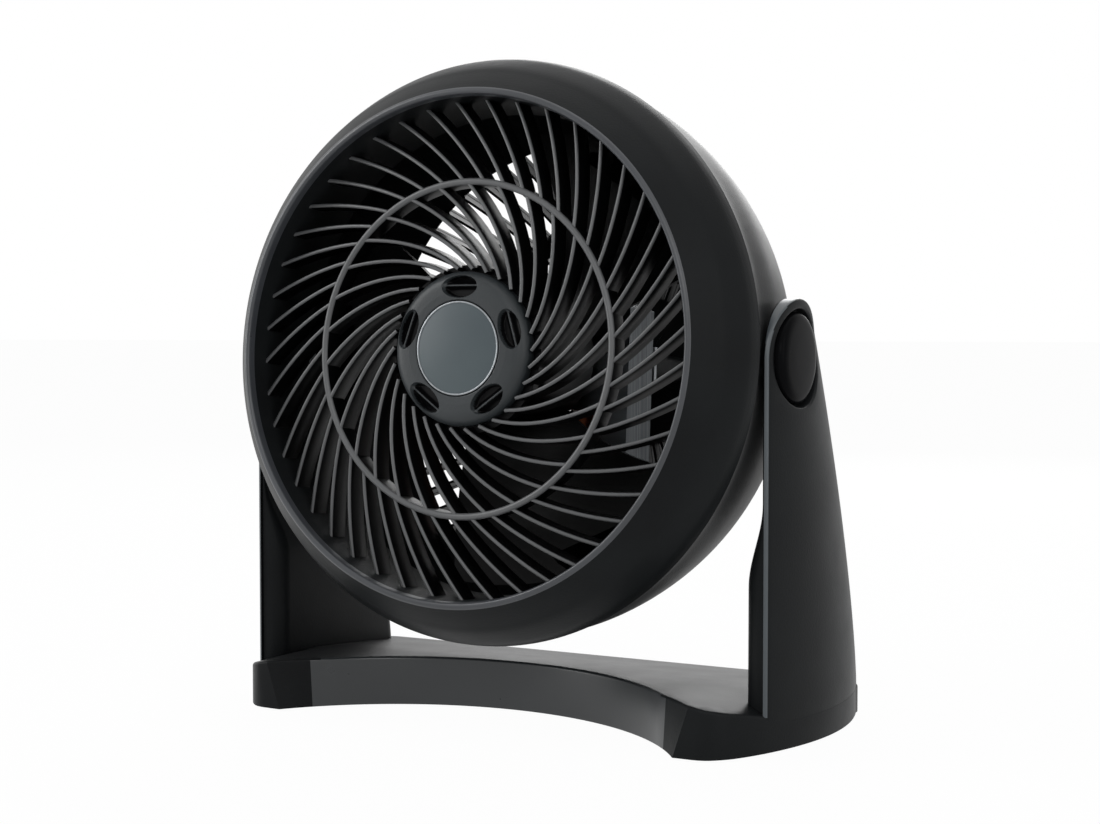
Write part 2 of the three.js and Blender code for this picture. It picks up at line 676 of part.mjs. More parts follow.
// Cord inlet in the rear wall: a bush with a flange inside and a short collar outside.
const gland = turned([
  [2.2, rearDepth - 6.2], [5.6, rearDepth - 6.2], [5.6, rearDepth - 4.2], [3.3, rearDepth - 4.2], [3.3, rearDepth + 0.6],
  [5, rearDepth + 0.6], [5, rearDepth + 2.4], [2.2, rearDepth + 2.4], [2.2, rearDepth - 6.2],
], 16);
head.add(piece('cord_inlet', gland.translate(glandPlace), rubber));

// ---------------------------------------------------------------- head: motor and switch

function statorSolid() {
  const { half, top, foot, corner } = statorFrame;
  const outline = [[half, -foot], [half, top - corner.z], [half - corner.x, top]];
  const frame = new THREE.Shape([...outline, ...outline.map(([x, z]) => [-x, z]).reverse()]
    .map(([x, z]) => new THREE.Vector2(x, z)));
  const hole = new THREE.Path();
  hole.absarc(0, 0, stack.bore, 0, 2 * Math.PI, true);
  const { half: reach, high, low } = coilWindow;
  const slot = new THREE.Path([[-reach, -low], [reach, -low], [reach, -high], [-reach, -high]]
    .map(([x, z]) => new THREE.Vector2(x, z)));
  frame.holes.push(hole, slot);
  const geometry = new THREE.ExtrudeGeometry(frame, { depth: stack.length, bevelEnabled: false, curveSegments: 16 });
  geometry.rotateX(Math.PI / 2);
  geometry.translate(0, stack.start + stack.length, 0);
  const holes = Object.values(sides).map((sign) => (
    bar(2.3, stack.start - 5, stack.start + stack.length + 5, 10).translate([sign * motorScrewSpan, 0, 0])
  ));
  return solid(geometry).subtract(join(holes));
}

// The winding around the stator's lower leg.
function coilSolid() {
  const mid = stack.start + stack.length / 2;
  const reach = stack.length / 2;
  const half = coilWindow.half - 1.5;
  const outer = block(-half, half, mid - reach - 8, mid + reach + 8, -statorFrame.foot - 8, -coilWindow.high - 1.5);
  const leg = block(-half - 5, half + 5, mid - reach - GAP, mid + reach + GAP, -statorFrame.foot - GAP, -coilWindow.low + GAP);
  return outer.subtract(leg);
}

function bracketSolid(nearFace, farFace, bearingEnd) {
  const strap = block(-motorScrewSpan - 5, motorScrewSpan + 5, nearFace, farFace, -7, 7);
  const boss = bar(bearingRadius + 2.7, Math.min(nearFace, bearingEnd), Math.max(farFace, bearingEnd), 16);
  const bore = bar(bearingRadius + GAP, -10, 80, 16);
  const spacers = Object.values(sides).map((sign) => {
    const inner = nearFace < stack.start ? [farFace, stack.start - GAP] : [stack.start + stack.length + GAP, nearFace];
    return bar(4.4, inner[0], inner[1], 14).translate([sign * motorScrewSpan, 0, 0]);
  });
  const holes = Object.values(sides).map((sign) => bar(2.3, -10, 80, 10).translate([sign * motorScrewSpan, 0, 0]));
  return strap.add(boss).add(join(spacers)).subtract(join([bore, ...holes]));
}

const frontStrap = { near: stack.start - 7, far: stack.start - 5 };
const rearStrap = { near: motorEnd - 2, far: motorEnd };
head.add(piece('stator', statorSolid(), lamination));
head.add(piece('coil', coilSolid(), copper));
head.add(piece('motor_bracket_front', bracketSolid(frontStrap.near, frontStrap.far, frontStrap.near - 3), zinc));
head.add(piece('motor_bracket_rear', bracketSolid(rearStrap.near, rearStrap.far, rearStrap.far + 4), zinc));
head.add(piece('bearing_front', bar(bearingRadius, frontStrap.near - 2.6, frontStrap.far + 1, 16, shaftRadius + GAP), bronze));
head.add(piece('bearing_rear', bar(bearingRadius, rearStrap.near - 1, rearStrap.far + 3.6, 16, shaftRadius + GAP), bronze));
for (const [side, sign] of Object.entries(sides)) {
  const screw = bar(1.8, frontStrap.near - 1.5, motorEnd + 12, 10).add(bar(3.6, frontStrap.near - 2.4, frontStrap.near - GAP, 14));
  head.add(piece(`motor_screw_${side}`, screw.translate([sign * motorScrewSpan, 0, 0]), zinc));
}
const switchBody = bar(12, switchPlace.start, switchPlace.end, 20).subtract(bar(shaftRadius + GAP, switchPlace.start + 4, rearDepth, 16));
head.add(piece('switch_body', switchBody, switchBlack));
const connector = block(
  coilWindow.half, coilWindow.half + 10, stack.start + 5, stack.start + 15, -statorFrame.foot - GAP - 8, -statorFrame.foot - GAP,
);
head.add(piece('wire_connector', connector, connectorRed));

// ---------------------------------------------------------------- rotor

function bladeSolid() {
  const rows = 5;
  const columns = 7;
  const surface = (u, v, lift) => {
    const r = THREE.MathUtils.lerp(impellerHubRadius - 2, impellerRadius, u);
    const sweep = THREE.MathUtils.lerp(bladeSweep.root, bladeSweep.tip, u);
    const a = rad(sweep * (v - 0.5) + bladeLean * u + bladeSweep.rest);
    const climb = THREE.MathUtils.lerp(bladeClimb.root, bladeClimb.tip, u);
    const y = bladeClimb.middle + climb * (v - 0.5) + bladeClimb.bow * Math.sin(Math.PI * v);
    return new THREE.Vector3(r * Math.cos(a), y + lift, r * Math.sin(a));
  };
  const rings = [];
  for (let i = 0; i <= rows; i += 1) {
    const ring = [];
    for (let j = 0; j <= columns; j += 1) ring.push(surface(i / rows, j / columns, 0));
    for (let j = columns; j >= 0; j -= 1) ring.push(surface(i / rows, j / columns, bladeThickness));
    rings.push(ring);
  }
  return solid(loft(rings, stripCap(2 * columns + 2)));
}

function impellerSolid() {
  const shellFront = -impellerHubFront;
  const cup = turned([
    [0, shellFront], [impellerHubRadius - 6, shellFront], [impellerHubRadius, shellFront + 5],
    [impellerHubRadius, impellerHubRear], [impellerHubRadius - 2, impellerHubRear], [impellerHubRadius - 2, shellFront + 6], [impellerHubRadius - 7, shellFront + 2.2],
    [0, shellFront + 2.2],
  ], 36);
  const core = bar(7, shellFront + 1, impellerHubRear - 2, 20);
  const bladeParts = Array.from({ length: blades }, (_, i) => bladeSolid().rotate([0, 360 * i / blades, 0]));
  const bore = bar(shaftRadius + GAP, shellFront - 5, impellerHubRear + 8, 16);
  const inside = bar(impellerHubRadius - 2.5, shellFront + 6.5, impellerHubRear - 0.1, 24);
  const cut = join(bladeParts).subtract(inside);
  return cup.add(cut).add(core).subtract(bore);
}

const rotor = new THREE.Group();
rotor.add(piece('impeller', impellerSolid(), impellerBlack));
rotor.add(piece('motor_shaft', bar(shaftRadius, -impellerHubFront - 4, motorEnd + 5, 16), steel));
rotor.add(piece('rotor_core', bar(rotorRadius, stack.start, stack.start + stack.length, 20, shaftRadius + GAP), lamination));
const nut = bar(5.4, -impellerHubFront - 3.8, -impellerHubFront - GAP, 6)
  .subtract(bar(shaftRadius + GAP, -impellerHubFront - 6, -impellerHubFront + 2));
rotor.add(piece('impeller_nut', nut, zinc));

// ---------------------------------------------------------------- speed knob

function knobSolid() {
  const base = rearDepth + 0.9;
  const dial = turned([
    [0, base], [knobRadius, base], [knobRadius, base + 2.5], [knobRadius - 1, base + 3.5], [0, base + 3.5],
  ], 36);
  const grip = block(-2.6, 2.6, base + 3, rearDepth + 1 + knobHeight, -knobRadius + 1.6, knobRadius - 1.6);
  const stem = bar(shaftRadius, switchPlace.start + 4 + GAP, base + 1, 16);
  return dial.add(grip).add(stem);
}

const knob = new THREE.Group();
knob.add(piece('speed_knob', knobSolid(), charcoalGloss));

// ---------------------------------------------------------------- the fan, standing on the middle of its own box

head.add(rotor, knob);
head.position.z = tiltHeight;
head.rotation.x = -rad(restTilt);

const frontMost = -(lipReach * Math.cos(rad(restTilt)) + lipRadius * Math.sin(rad(restTilt)));
const rearMost = (rearDepth + 1 + knobHeight) * Math.cos(rad(restTilt)) + (knobRadius - 1.6) * Math.sin(rad(restTilt));
const fan = new THREE.Group();
fan.position.y = -(frontMost + rearMost) / 2;
fan.add(stand, head);

const part = new THREE.Group();
part.name = 'air_circulator_fan';
part.add(fan);
part.updateMatrixWorld(true);

export default part;
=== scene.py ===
import math

import bmesh
import bpy
import numpy as np
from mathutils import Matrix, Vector
from mathutils.geometry import delaunay_2d_cdt


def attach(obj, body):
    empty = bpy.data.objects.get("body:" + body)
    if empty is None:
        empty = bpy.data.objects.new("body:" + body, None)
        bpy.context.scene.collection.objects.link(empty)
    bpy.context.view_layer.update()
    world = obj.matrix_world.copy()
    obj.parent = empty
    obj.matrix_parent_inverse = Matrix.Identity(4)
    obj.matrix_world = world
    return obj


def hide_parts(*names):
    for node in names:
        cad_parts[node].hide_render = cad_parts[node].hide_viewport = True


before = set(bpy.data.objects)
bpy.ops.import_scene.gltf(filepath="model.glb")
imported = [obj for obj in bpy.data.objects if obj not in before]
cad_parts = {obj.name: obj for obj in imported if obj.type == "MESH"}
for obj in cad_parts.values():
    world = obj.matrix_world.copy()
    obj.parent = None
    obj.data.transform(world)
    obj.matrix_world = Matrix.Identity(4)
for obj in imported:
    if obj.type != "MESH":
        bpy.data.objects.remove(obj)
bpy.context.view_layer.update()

# ---------------------------------------------------------------------------
# Camera: at the photograph's place, 28.99 degrees to the right of the fan's own axis and
# slightly above it. Lengths in this script are millimetres; add_piece turns them to metres.

MM = 0.001
TAU = 2.0 * math.pi
CAMERA_PLACE = (333.4, -607.9, 139.5)
CAMERA_AZIMUTH = math.radians(28.99)
CAMERA_ELEVATION = math.radians(2.45)
CAMERA_LENS = 60.05

camera_data = bpy.data.cameras.new("camera")
camera_data.lens = CAMERA_LENS
camera_data.sensor_width = 36.0
camera_data.sensor_fit = "HORIZONTAL"
camera_data.clip_start = 0.01
camera = bpy.data.objects.new("camera", camera_data)
camera.location = Vector(CAMERA_PLACE) * MM
look = Vector((
    -math.sin(CAMERA_AZIMUTH) * math.cos(CAMERA_ELEVATION),
    math.cos(CAMERA_AZIMUTH) * math.cos(CAMERA_ELEVATION),
    -math.sin(CAMERA_ELEVATION),
))
camera.rotation_euler = look.to_track_quat("-Z", "Y").to_euler()
bpy.context.scene.collection.objects.link(camera)
bpy.context.scene.camera = camera
bpy.context.scene.view_settings.view_transform = "Standard"


# ---------------------------------------------------------------------------
# Light: a wide soft box above, a tall one at each side, a small one in front and one behind.
# The world is a pale grey room that the camera, mirrors and glass see as white.

def area_light(name, place, aim, size, power):
    """A rectangular lamp at place, turned so that its face looks at aim. Both in metres."""
    data = bpy.data.lights.new(name, "AREA")
    data.shape = "RECTANGLE"
    data.size = size[0]
    data.size_y = size[1]
    data.energy = power
    lamp = bpy.data.objects.new(name, data)
    lamp.location = place
    lamp.rotation_euler = (Vector(aim) - Vector(place)).to_track_quat("-Z", "Y").to_euler()
    bpy.context.scene.collection.objects.link(lamp)


area_light("light_top", (0.1, 0.1, 1.15), (0.0, 0.0, 0.1), (1.3, 1.0), 3.2)
area_light("light_left", (-1.1, -0.7, 0.65), (0.0, 0.0, 0.12), (0.5, 1.1), 9.0)
area_light("light_right", (1.15, -0.45, 0.55), (0.0, 0.0, 0.12), (0.45, 1.1), 3.0)
area_light("light_front", (0.55, -1.25, 0.75), (0.0, 0.0, 0.12), (0.5, 0.5), 3.6)
area_light("light_back", (-0.3, 1.2, 0.7), (0.0, 0.0, 0.15), (1.0, 0.8), 8.0)


def whitened(tree, shader, white_share):
    """Mixes a shader with plain white for camera, glossy and transmission rays."""
    light_path = tree.nodes.new("ShaderNodeLightPath")
    seen = light_path.outputs["Is Camera Ray"]
    for ray in ("Is Glossy Ray", "Is Transmission Ray"):
        either = tree.nodes.new("ShaderNodeMath")
        either.operation = "MAXIMUM"
        tree.links.new(seen, either.inputs[0])
        tree.links.new(light_path.outputs[ray], either.inputs[1])
        seen = either.outputs[0]
    share = tree.nodes.new("ShaderNodeMath")
    share.operation = "MULTIPLY"
    share.inputs[1].default_value = white_share
    tree.links.new(seen, share.inputs[0])
    mix = tree.nodes.new("ShaderNodeMixShader")
    tree.links.new(share.outputs[0], mix.inputs["Fac"])
    tree.links.new(shader.outputs[0], mix.inputs[1])
    return mix


world = bpy.data.worlds.new("studio")
world.use_nodes = True
bpy.context.scene.world = world
world_tree = world.node_tree
world_tree.nodes.clear()
room = world_tree.nodes.new("ShaderNodeBackground")
room.inputs["Color"].default_value = (0.9, 0.92, 0.95, 1.0)
room.inputs["Strength"].default_value = 0.3
white = world_tree.nodes.new("ShaderNodeBackground")
white.inputs["Color"].default_value = (1.0, 1.0, 1.0, 1.0)
white.inputs["Strength"].default_value = 1.0
world_mix = whitened(world_tree, room, 1.0)
world_tree.links.new(white.outputs[0], world_mix.inputs[2])
world_out = world_tree.nodes.new("ShaderNodeOutputWorld")
world_tree.links.new(world_mix.outputs[0], world_out.inputs["Surface"])


# ---------------------------------------------------------------------------
# Front shell: the drum-shaped bezel. Injection-moulded ABS with a fine grain outside, it turns
# over a narrow lip into the funnel that the grille stands in.

PIVOT_Y = -28.206
PIVOT_Z = 131.2
TILT = math.radians(4.26)


def linear(code):
    """The linear RGBA of an sRGB hex colour."""
    values = [int(code[i:i + 2], 16) / 255.0 for i in (1, 3, 5)]
    return tuple(v / 12.92 if v <= 0.04045 else ((v + 0.055) / 1.055) ** 2.4 for v in values) + (1.0,)


def new_material(name):
    """An empty node material, its Principled shader and its output."""
    material = bpy.data.materials.new(name)
    material.use_nodes = True
    return material, material.node_tree, material.node_tree.nodes["Principled BSDF"]


def node(tree, kind, *links, **values):
    """Adds one node: links are (input, output socket) pairs, values are attributes or socket values."""
    made = tree.nodes.new(kind)
    for key, value in values.items():
        if hasattr(made, key):
            setattr(made, key, value)
        else:
            made.inputs[key.replace("_", " ")].default_value = value
    for target, source in links:
        tree.links.new(source, made.inputs[target])
    return made


def ramp(tree, source, low, high, start=0.3, end=0.7):
    """A colour ramp from low to high, driven by source."""
    made = node(tree, "ShaderNodeValToRGB", ("Fac", source))
    made.color_ramp.elements[0].position = start
    made.color_ramp.elements[0].color = low
    made.color_ramp.elements[1].position = end
    made.color_ramp.elements[1].color = high
    return made


def moulded(name, dark, light, rough, grain=1400.0, bump=0.12, spread=0.08, shine=0.2):
    """Moulded plastic: slow drifts between two near colours, fine spark-eroded grain in the bump."""
    material, tree, shader = new_material(name)
    place = node(tree, "ShaderNodeTexCoord").outputs["Object"]
    drift = node(tree, "ShaderNodeTexNoise", ("Vector", place), Scale=18.0, Detail=3.0, Roughness=0.6)
    colour = ramp(tree, drift.outputs["Fac"], linear(dark), linear(light), 0.35, 0.68)
    tree.links.new(colour.outputs["Color"], shader.inputs["Base Color"])
    fine = node(tree, "ShaderNodeTexNoise", ("Vector", place), Scale=grain, Detail=2.0, Roughness=0.55)
    smear = node(tree, "ShaderNodeTexNoise", ("Vector", place), Scale=42.0, Detail=4.0, Roughness=0.6)
    gloss = node(tree, "ShaderNodeMapRange", ("Value", smear.outputs["Fac"]))
    gloss.inputs["To Min"].default_value = rough - spread
    gloss.inputs["To Max"].default_value = rough + spread
    tree.links.new(gloss.outputs["Result"], shader.inputs["Roughness"])
    raised = node(tree, "ShaderNodeBump", ("Height", fine.outputs["Fac"]), Strength=bump, Distance=0.0004)
    tree.links.new(raised.outputs["Normal"], shader.inputs["Normal"])
    shader.inputs["Specular IOR Level"].default_value = shine
    return material


# Satin charcoal ABS with a fine spark-eroded grain, which keeps its reflections broad and weak.
CHARCOAL = moulded("abs_charcoal_grained", "#161718", "#1b1d1e", 0.4, shine=0.065)
# The same ABS, smoother on the narrow lip around the grille and painted lighter there as a highlight along
# the lip.
LIP_HIGHLIGHT_PLASTIC = moulded("abs_charcoal_lip_painted_highlight", "#36383b", "#404246", 0.3, bump=0.05, shine=0.45)


def in_head(points):
    """From the head's own coordinates (x, distance behind the pivot, height) to the row's frame."""
    p = np.asarray(points, float)
    y = PIVOT_Y + p[:, 1] * math.cos(TILT) + p[:, 2] * math.sin(TILT)
    z = PIVOT_Z - p[:, 1] * math.sin(TILT) + p[:, 2] * math.cos(TILT)
    return np.stack([p[:, 0], y, z], axis=1)


def polar(place):
    """Distance from the fan's axis, and distance behind the pivot, of a place in the row's frame."""
    y = place[1] - PIVOT_Y
    z = place[2] - PIVOT_Z
    height = y * math.sin(TILT) + z * math.cos(TILT)
    return math.hypot(place[0], height), y * math.cos(TILT) - z * math.sin(TILT)


def grid_faces(rows, columns, wrap_rows=False):
    """Quads over a grid of points, closed across its columns and, if asked, across its rows."""
    faces = []
    for i in range(rows if wrap_rows else rows - 1):
        for j in range(columns):
            k = (i + 1) % rows
            m = (j + 1) % columns
            faces.append([i * columns + j, i * columns + m, k * columns + m, k * columns + j])
    return faces


def lathe(profile, steps):
    """A closed outline (r, y) turned about the head's axis: (r, y) goes to (r sin a, y, r cos a)."""
    outline = np.asarray(profile, float)
    a = np.linspace(0.0, TAU, steps, endpoint=False)
    x = np.outer(np.sin(a), outline[:, 0])
    z = np.outer(np.cos(a), outline[:, 0])
    y = np.tile(outline[:, 1], (steps, 1))
    points = np.stack([x, y, z], axis=-1).reshape(-1, 3)
    return points, grid_faces(steps, len(outline), wrap_rows=True)


def rounded(corners, radii, steps=5, closed=True):
    """An outline whose corners are rounded: each corner is left at its radius along both sides
    and bridged by the parabola through the two leaving points that the corner pulls."""
    corners = np.asarray(corners, float)
    out = []
    count = len(corners)
    for i in range(count):
        corner = corners[i]
        radius = radii[i] if hasattr(radii, "__len__") else radii
        if radius <= 0.0 or (not closed and i in (0, count - 1)):
            out.append(corner)
            continue
        before = corners[i - 1] - corner
        after = corners[(i + 1) % count] - corner
        start = corner + before * min(radius / np.linalg.norm(before), 0.5)
        end = corner + after * min(radius / np.linalg.norm(after), 0.5)
        for t in np.linspace(0.0, 1.0, steps):
            out.append((1 - t) ** 2 * start + 2 * t * (1 - t) * corner + t * t * end)
    return np.array(out)


def curve_through(knots, steps):
    """Points of a smooth curve through the knots: Catmull-Rom pieces."""
    p = np.asarray(knots, float)
    p = np.concatenate([[2 * p[0] - p[1]], p, [2 * p[-1] - p[-2]]])
    out = []
    for i in range(1, len(p) - 2):
        for t in np.linspace(0.0, 1.0, steps, endpoint=False):
            a = 2 * p[i]
            b = p[i + 1] - p[i - 1]
            c = 2 * p[i - 1] - 5 * p[i] + 4 * p[i + 1] - p[i + 2]
            d = 3 * p[i] - p[i - 1] - 3 * p[i + 1] + p[i + 2]
            out.append(0.5 * (a + b * t + c * t * t + d * t ** 3))
    out.append(p[-2])
    return np.array(out)


def add_piece(name, shape, place, material, body, replaces=(), crease=32.0):
    """One finished object: welded, facing outwards, smooth but for edges sharper than crease."""
    points, faces = shape
    mesh = bpy.data.meshes.new(name)
    mesh.from_pydata((place(points) * MM).tolist(), [], faces)
    work = bmesh.new()
    work.from_mesh(mesh)
    bmesh.ops.remove_doubles(work, verts=work.verts, dist=2e-6)
    bmesh.ops.dissolve_degenerate(work, dist=1e-7, edges=work.edges)
    bmesh.ops.recalc_face_normals(work, faces=work.faces)
    work.to_mesh(mesh)
    work.free()
    mesh.shade_smooth()
    mesh.set_sharp_from_angle(angle=math.radians(crease))
    mesh.materials.append(material)
    made = bpy.data.objects.new(name, mesh)
    bpy.context.scene.collection.objects.link(made)
    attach(made, body)
    if replaces:
        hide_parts(*replaces)
    return made


def finish_faces(made, material, chosen):
    """Gives one more material to the faces whose middle, in the row's frame, passes chosen."""
    made.data.materials.append(material)
    for face in made.data.polygons:
        if chosen(face.center / MM):
            face.material_index = len(made.data.materials) - 1


LIP_REACH = 47.8
SEAM_RADIUS = 103.4
SEAM_REACH = 23.6
THROAT_RADIUS = 86.6
THROAT_END = 12.0
SHELL_WALL = 2.2

bezel_outside = curve_through([
    (SEAM_RADIUS, -SEAM_REACH), (102.9, -27.0), (101.8, -30.4), (98.2, -36.8), (95.4, -40.3),
    (92.3, -43.9), (90.1, -46.3),
], 5)
bezel_lip = rounded([
    (90.1, -46.3), (88.7, -LIP_REACH), (87.1, -LIP_REACH + 0.1), (THROAT_RADIUS + 0.1, -44.6),
], [0.0, 1.2, 1.4, 0.0], 8, closed=False)
bezel_inside = np.array([
    (THROAT_RADIUS, -39.0), (THROAT_RADIUS - 0.6, -THROAT_END), (THROAT_RADIUS + 1.4, -THROAT_END),
    (THROAT_RADIUS + SHELL_WALL, -40.6), (91.0, -42.0), (96.5, -36.0), (99.8, -30.4),
    (SEAM_RADIUS - SHELL_WALL, -SEAM_REACH),
])
bezel = lathe(np.concatenate([bezel_outside, bezel_lip[1:], bezel_inside]), 256)


def on_lip(place):
    """True on the narrow turned edge where the bezel meets the funnel."""
    r, depth = polar(place)
    return depth < -44.4 and r < 89.6


made_bezel = add_piece("front_shell_bezel", bezel, in_head, CHARCOAL, "head",
                       ["front_shell"], 40.0)
# The lip's faces take the lighter lip material: a painted highlight along the turned edge.
finish_faces(made_bezel, LIP_HIGHLIGHT_PLASTIC, on_lip)


# ---------------------------------------------------------------------------
# Front grille: 45 outer and 30 inner spiral vanes on a thin ring, moulded with the funnel.
# Each vane is a deep fin of charcoal ABS, its sides painted near black as shade and its rounded front edge
# painted light as a highlight.

# The same ABS, smoother, painted near black as shade: in the deep grille, the hub's hollows and the rear
# slats.
GRILLE_SHADE_PLASTIC = moulded("abs_charcoal_painted_shade", "#060607", "#09090a", 0.34, bump=0.06, shine=0.12)
# The vanes' and the ring's front edges: thin grey lines painted lighter than the grille as a highlight.
EDGE_HIGHLIGHT_PLASTIC = moulded("abs_grille_edges_painted_highlight", "#4c4d4e", "#565758", 0.34, bump=0.04, shine=0.5)


def gather(shapes):
    """Many shapes as one."""
    points = []
    faces = []
    count = 0
    for shape_points, shape_faces in shapes:
        points.append(np.asarray(shape_points, float))
        faces += [[i + count for i in face] for face in shape_faces]
        count += len(shape_points)
    return np.concatenate(points), faces


def loft(rings):
    """A skin over rings of equally many points, closed at both ends."""
    stack = np.asarray(rings, float)
    count, size = stack.shape[:2]
    faces = grid_faces(count, size)
    faces.append(list(range(size)))
    faces.append([(count - 1) * size + i for i in range(size)][::-1])
    return stack.reshape(-1, 3), faces


OUTER_VANES = 45
INNER_VANES = 30
OUTER_START = math.radians(3.6)
INNER_START = math.radians(6.3)
RING_RADIUS = 57.9
HUB_RADIUS = 26.8
VANE_HALF = 0.95
VANE_DEPTH = 8.0


def vane_angle(r, start):
    """start + 52 l - 9 l^2 degrees, where l is ln(r / ring radius)."""
    length = np.log(r / RING_RADIUS)
    return start + np.radians(52.0 * length - 9.0 * length ** 2)


def vane_reach(r):
    """How far forward a vane's edge lies: 41.6 at the hub, 41.2 at the ring, 38 at the funnel."""
    return np.interp(r, [HUB_RADIUS, RING_RADIUS, THROAT_RADIUS], [41.6, 41.2, 38.0])


def vane(r0, r1, start, steps):
    """One fin along the spiral: rings across it, with a half-round front edge."""
    r = np.linspace(r0, r1, steps)
    a = vane_angle(r, start)
    x = r * np.cos(a)
    z = r * np.sin(a)
    dx = np.gradient(x)
    dz = np.gradient(z)
    size = np.hypot(dx, dz)
    side = np.stack([-dz / size, np.zeros(steps), dx / size], axis=1)
    front = -vane_reach(r)
    nose = np.radians([-60.0, -30.0, 0.0, 30.0, 60.0])
    section = [(-1.0, VANE_DEPTH), (-0.7, 0.6)]
    section += [(0.7 * math.sin(t), 0.6 - 0.6 * math.cos(t)) for t in nose]
    section += [(0.7, 0.6), (1.0, VANE_DEPTH), (0.62, VANE_DEPTH + 0.4), (-0.62, VANE_DEPTH + 0.4)]
    rings = []
    for i in range(steps):
        centre = np.array([x[i], front[i], z[i]])
        rings.append([centre + side[i] * VANE_HALF * u + np.array([0.0, v, 0.0]) for u, v in section])
    return loft(rings)


vanes = [vane(RING_RADIUS, THROAT_RADIUS + 0.9, OUTER_START + TAU * i / OUTER_VANES, 13)
         for i in range(OUTER_VANES)]
vanes += [vane(HUB_RADIUS + 0.9, RING_RADIUS, INNER_START + TAU * i / INNER_VANES, 13)
          for i in range(INNER_VANES)]
ring = lathe(rounded([
    (RING_RADIUS - 1.2, -41.0), (RING_RADIUS - 0.5, -41.7),
    (RING_RADIUS + 0.5, -41.7), (RING_RADIUS + 1.2, -41.0),
    (RING_RADIUS + 1.2, -33.4), (RING_RADIUS - 1.2, -33.4),
], 0.35, 3), 240)
hub_plate = lathe([
    (0.0, -39.4), (25.6, -39.4), (25.6, -37.2),
    (HUB_RADIUS + 2.6, -37.2), (HUB_RADIUS + 2.6, -33.6), (0.0, -33.6),
], 120)

# The vanes, ring and hub plate take the near-black grille material: painted shade in the deep grille.
made_grille = add_piece("front_grille_vanes", gather(vanes + [ring, hub_plate]), in_head, GRILLE_SHADE_PLASTIC,
                        "head", (), 50.0)


def on_front_edge(place):
    """True on the half-round front of a vane or of the ring."""
    r, depth = polar(place)
    return r > HUB_RADIUS and depth < 0.6 - vane_reach(r)


# The front edges take the pale edge material: a painted highlight along each vane and the ring.
finish_faces(made_grille, EDGE_HIGHLIGHT_PLASTIC, on_front_edge)


# ---------------------------------------------------------------------------
# Hub cap: a low grey ABS dome clipped over the grille's middle, with five oval windows whose
# hollows, painted near black as shade, are crossed by a raised rib, and a round seat for the blank badge.

# Grey satin ABS, a little lighter and glossier than the shells.
HUB_PLASTIC = moulded("abs_hub_grey", "#25292b", "#2d3133", 0.42, grain=1100.0, bump=0.16, shine=0.35)

BADGE_RADIUS = 16.3
BADGE_REACH = 43.9
SCOOPS = 5
SCOOP_ORBIT = 21.3
SCOOP_HALF = (7.0, 3.9)


def hub_face(r, a):
    """Height of the cap's face: a dome that rolls off at its rim, less the oval hollows.
    A hollow is 3.2 deep inside its ellipse, with a rib along its middle 1.3 below the face."""
    edge = np.clip((r - 19.5) / (HUB_RADIUS - 19.5), 0.0, 1.0)
    face = BADGE_REACH + 0.35 - 0.5 * edge - 3.4 * edge ** 5
    hollow = np.zeros_like(face)
    for i in range(SCOOPS):
        centre = math.pi / 2 + TAU * i / SCOOPS
        turn = (a - centre + math.pi) % TAU - math.pi
        u = r * np.sin(turn) / SCOOP_HALF[0]
        v = (r * np.cos(turn) - SCOOP_ORBIT) / SCOOP_HALF[1]
        inside = 1.0 - np.hypot(u, v)
        depth = 3.2 * np.clip(inside / 0.16, 0.0, 1.0) ** 0.7
        rib = 1.9 * np.exp(-((v - 0.12) / 0.24) ** 2) * np.clip(inside / 0.16, 0.0, 1.0)
        hollow = np.maximum(hollow, depth - rib)
    return face - hollow


def hub_cap():
    """A polar grid of the face between the badge seat and the rim, closed by its side and back."""
    steps = 480
    radii = np.concatenate([[BADGE_RADIUS + 0.35, BADGE_RADIUS + 0.6], np.linspace(17.1, HUB_RADIUS, 56)])
    a = np.linspace(0.0, TAU, steps, endpoint=False)
    r, turn = np.meshgrid(radii, a)
    y = -hub_face(r, turn)
    y[:, 0] += 0.25
    back = [(HUB_RADIUS, -37.5), (15.0, -39.7), (0.0, -39.7), (0.0, -42.3), (BADGE_RADIUS + 0.35, -42.3)]
    r = np.concatenate([r] + [np.full((steps, 1), radius) for radius, reach in back], axis=1)
    y = np.concatenate([y] + [np.full((steps, 1), reach) for radius, reach in back], axis=1)
    turn = np.repeat(a[:, None], r.shape[1], axis=1)
    points = np.stack([r * np.cos(turn), y, r * np.sin(turn)], axis=-1).reshape(-1, 3)
    return points, grid_faces(steps, r.shape[1], wrap_rows=True)


made_hub = add_piece("hub_cap_face", hub_cap(), in_head, HUB_PLASTIC, "head",
                     ["hub_cap"], 45.0)


def in_hollow(place):
    """True on the floor and the sides of an oval, below its rib."""
    r, depth = polar(place)
    edge = min(max((r - 19.5) / (HUB_RADIUS - 19.5), 0.0), 1.0)
    rim = -(BADGE_REACH + 0.35 - 0.5 * edge - 3.4 * edge ** 5)
    return BADGE_RADIUS + 0.8 < r < HUB_RADIUS - 0.6 and depth > rim + 1.5


# The floors and sides of the hollows take the near-black grille material: painted shade in the recesses.
finish_faces(made_hub, GRILLE_SHADE_PLASTIC, in_hollow)


# ---------------------------------------------------------------------------
# Badge: a bare disc of matted ABS, pressed into the seat, inside a thin bright ring.

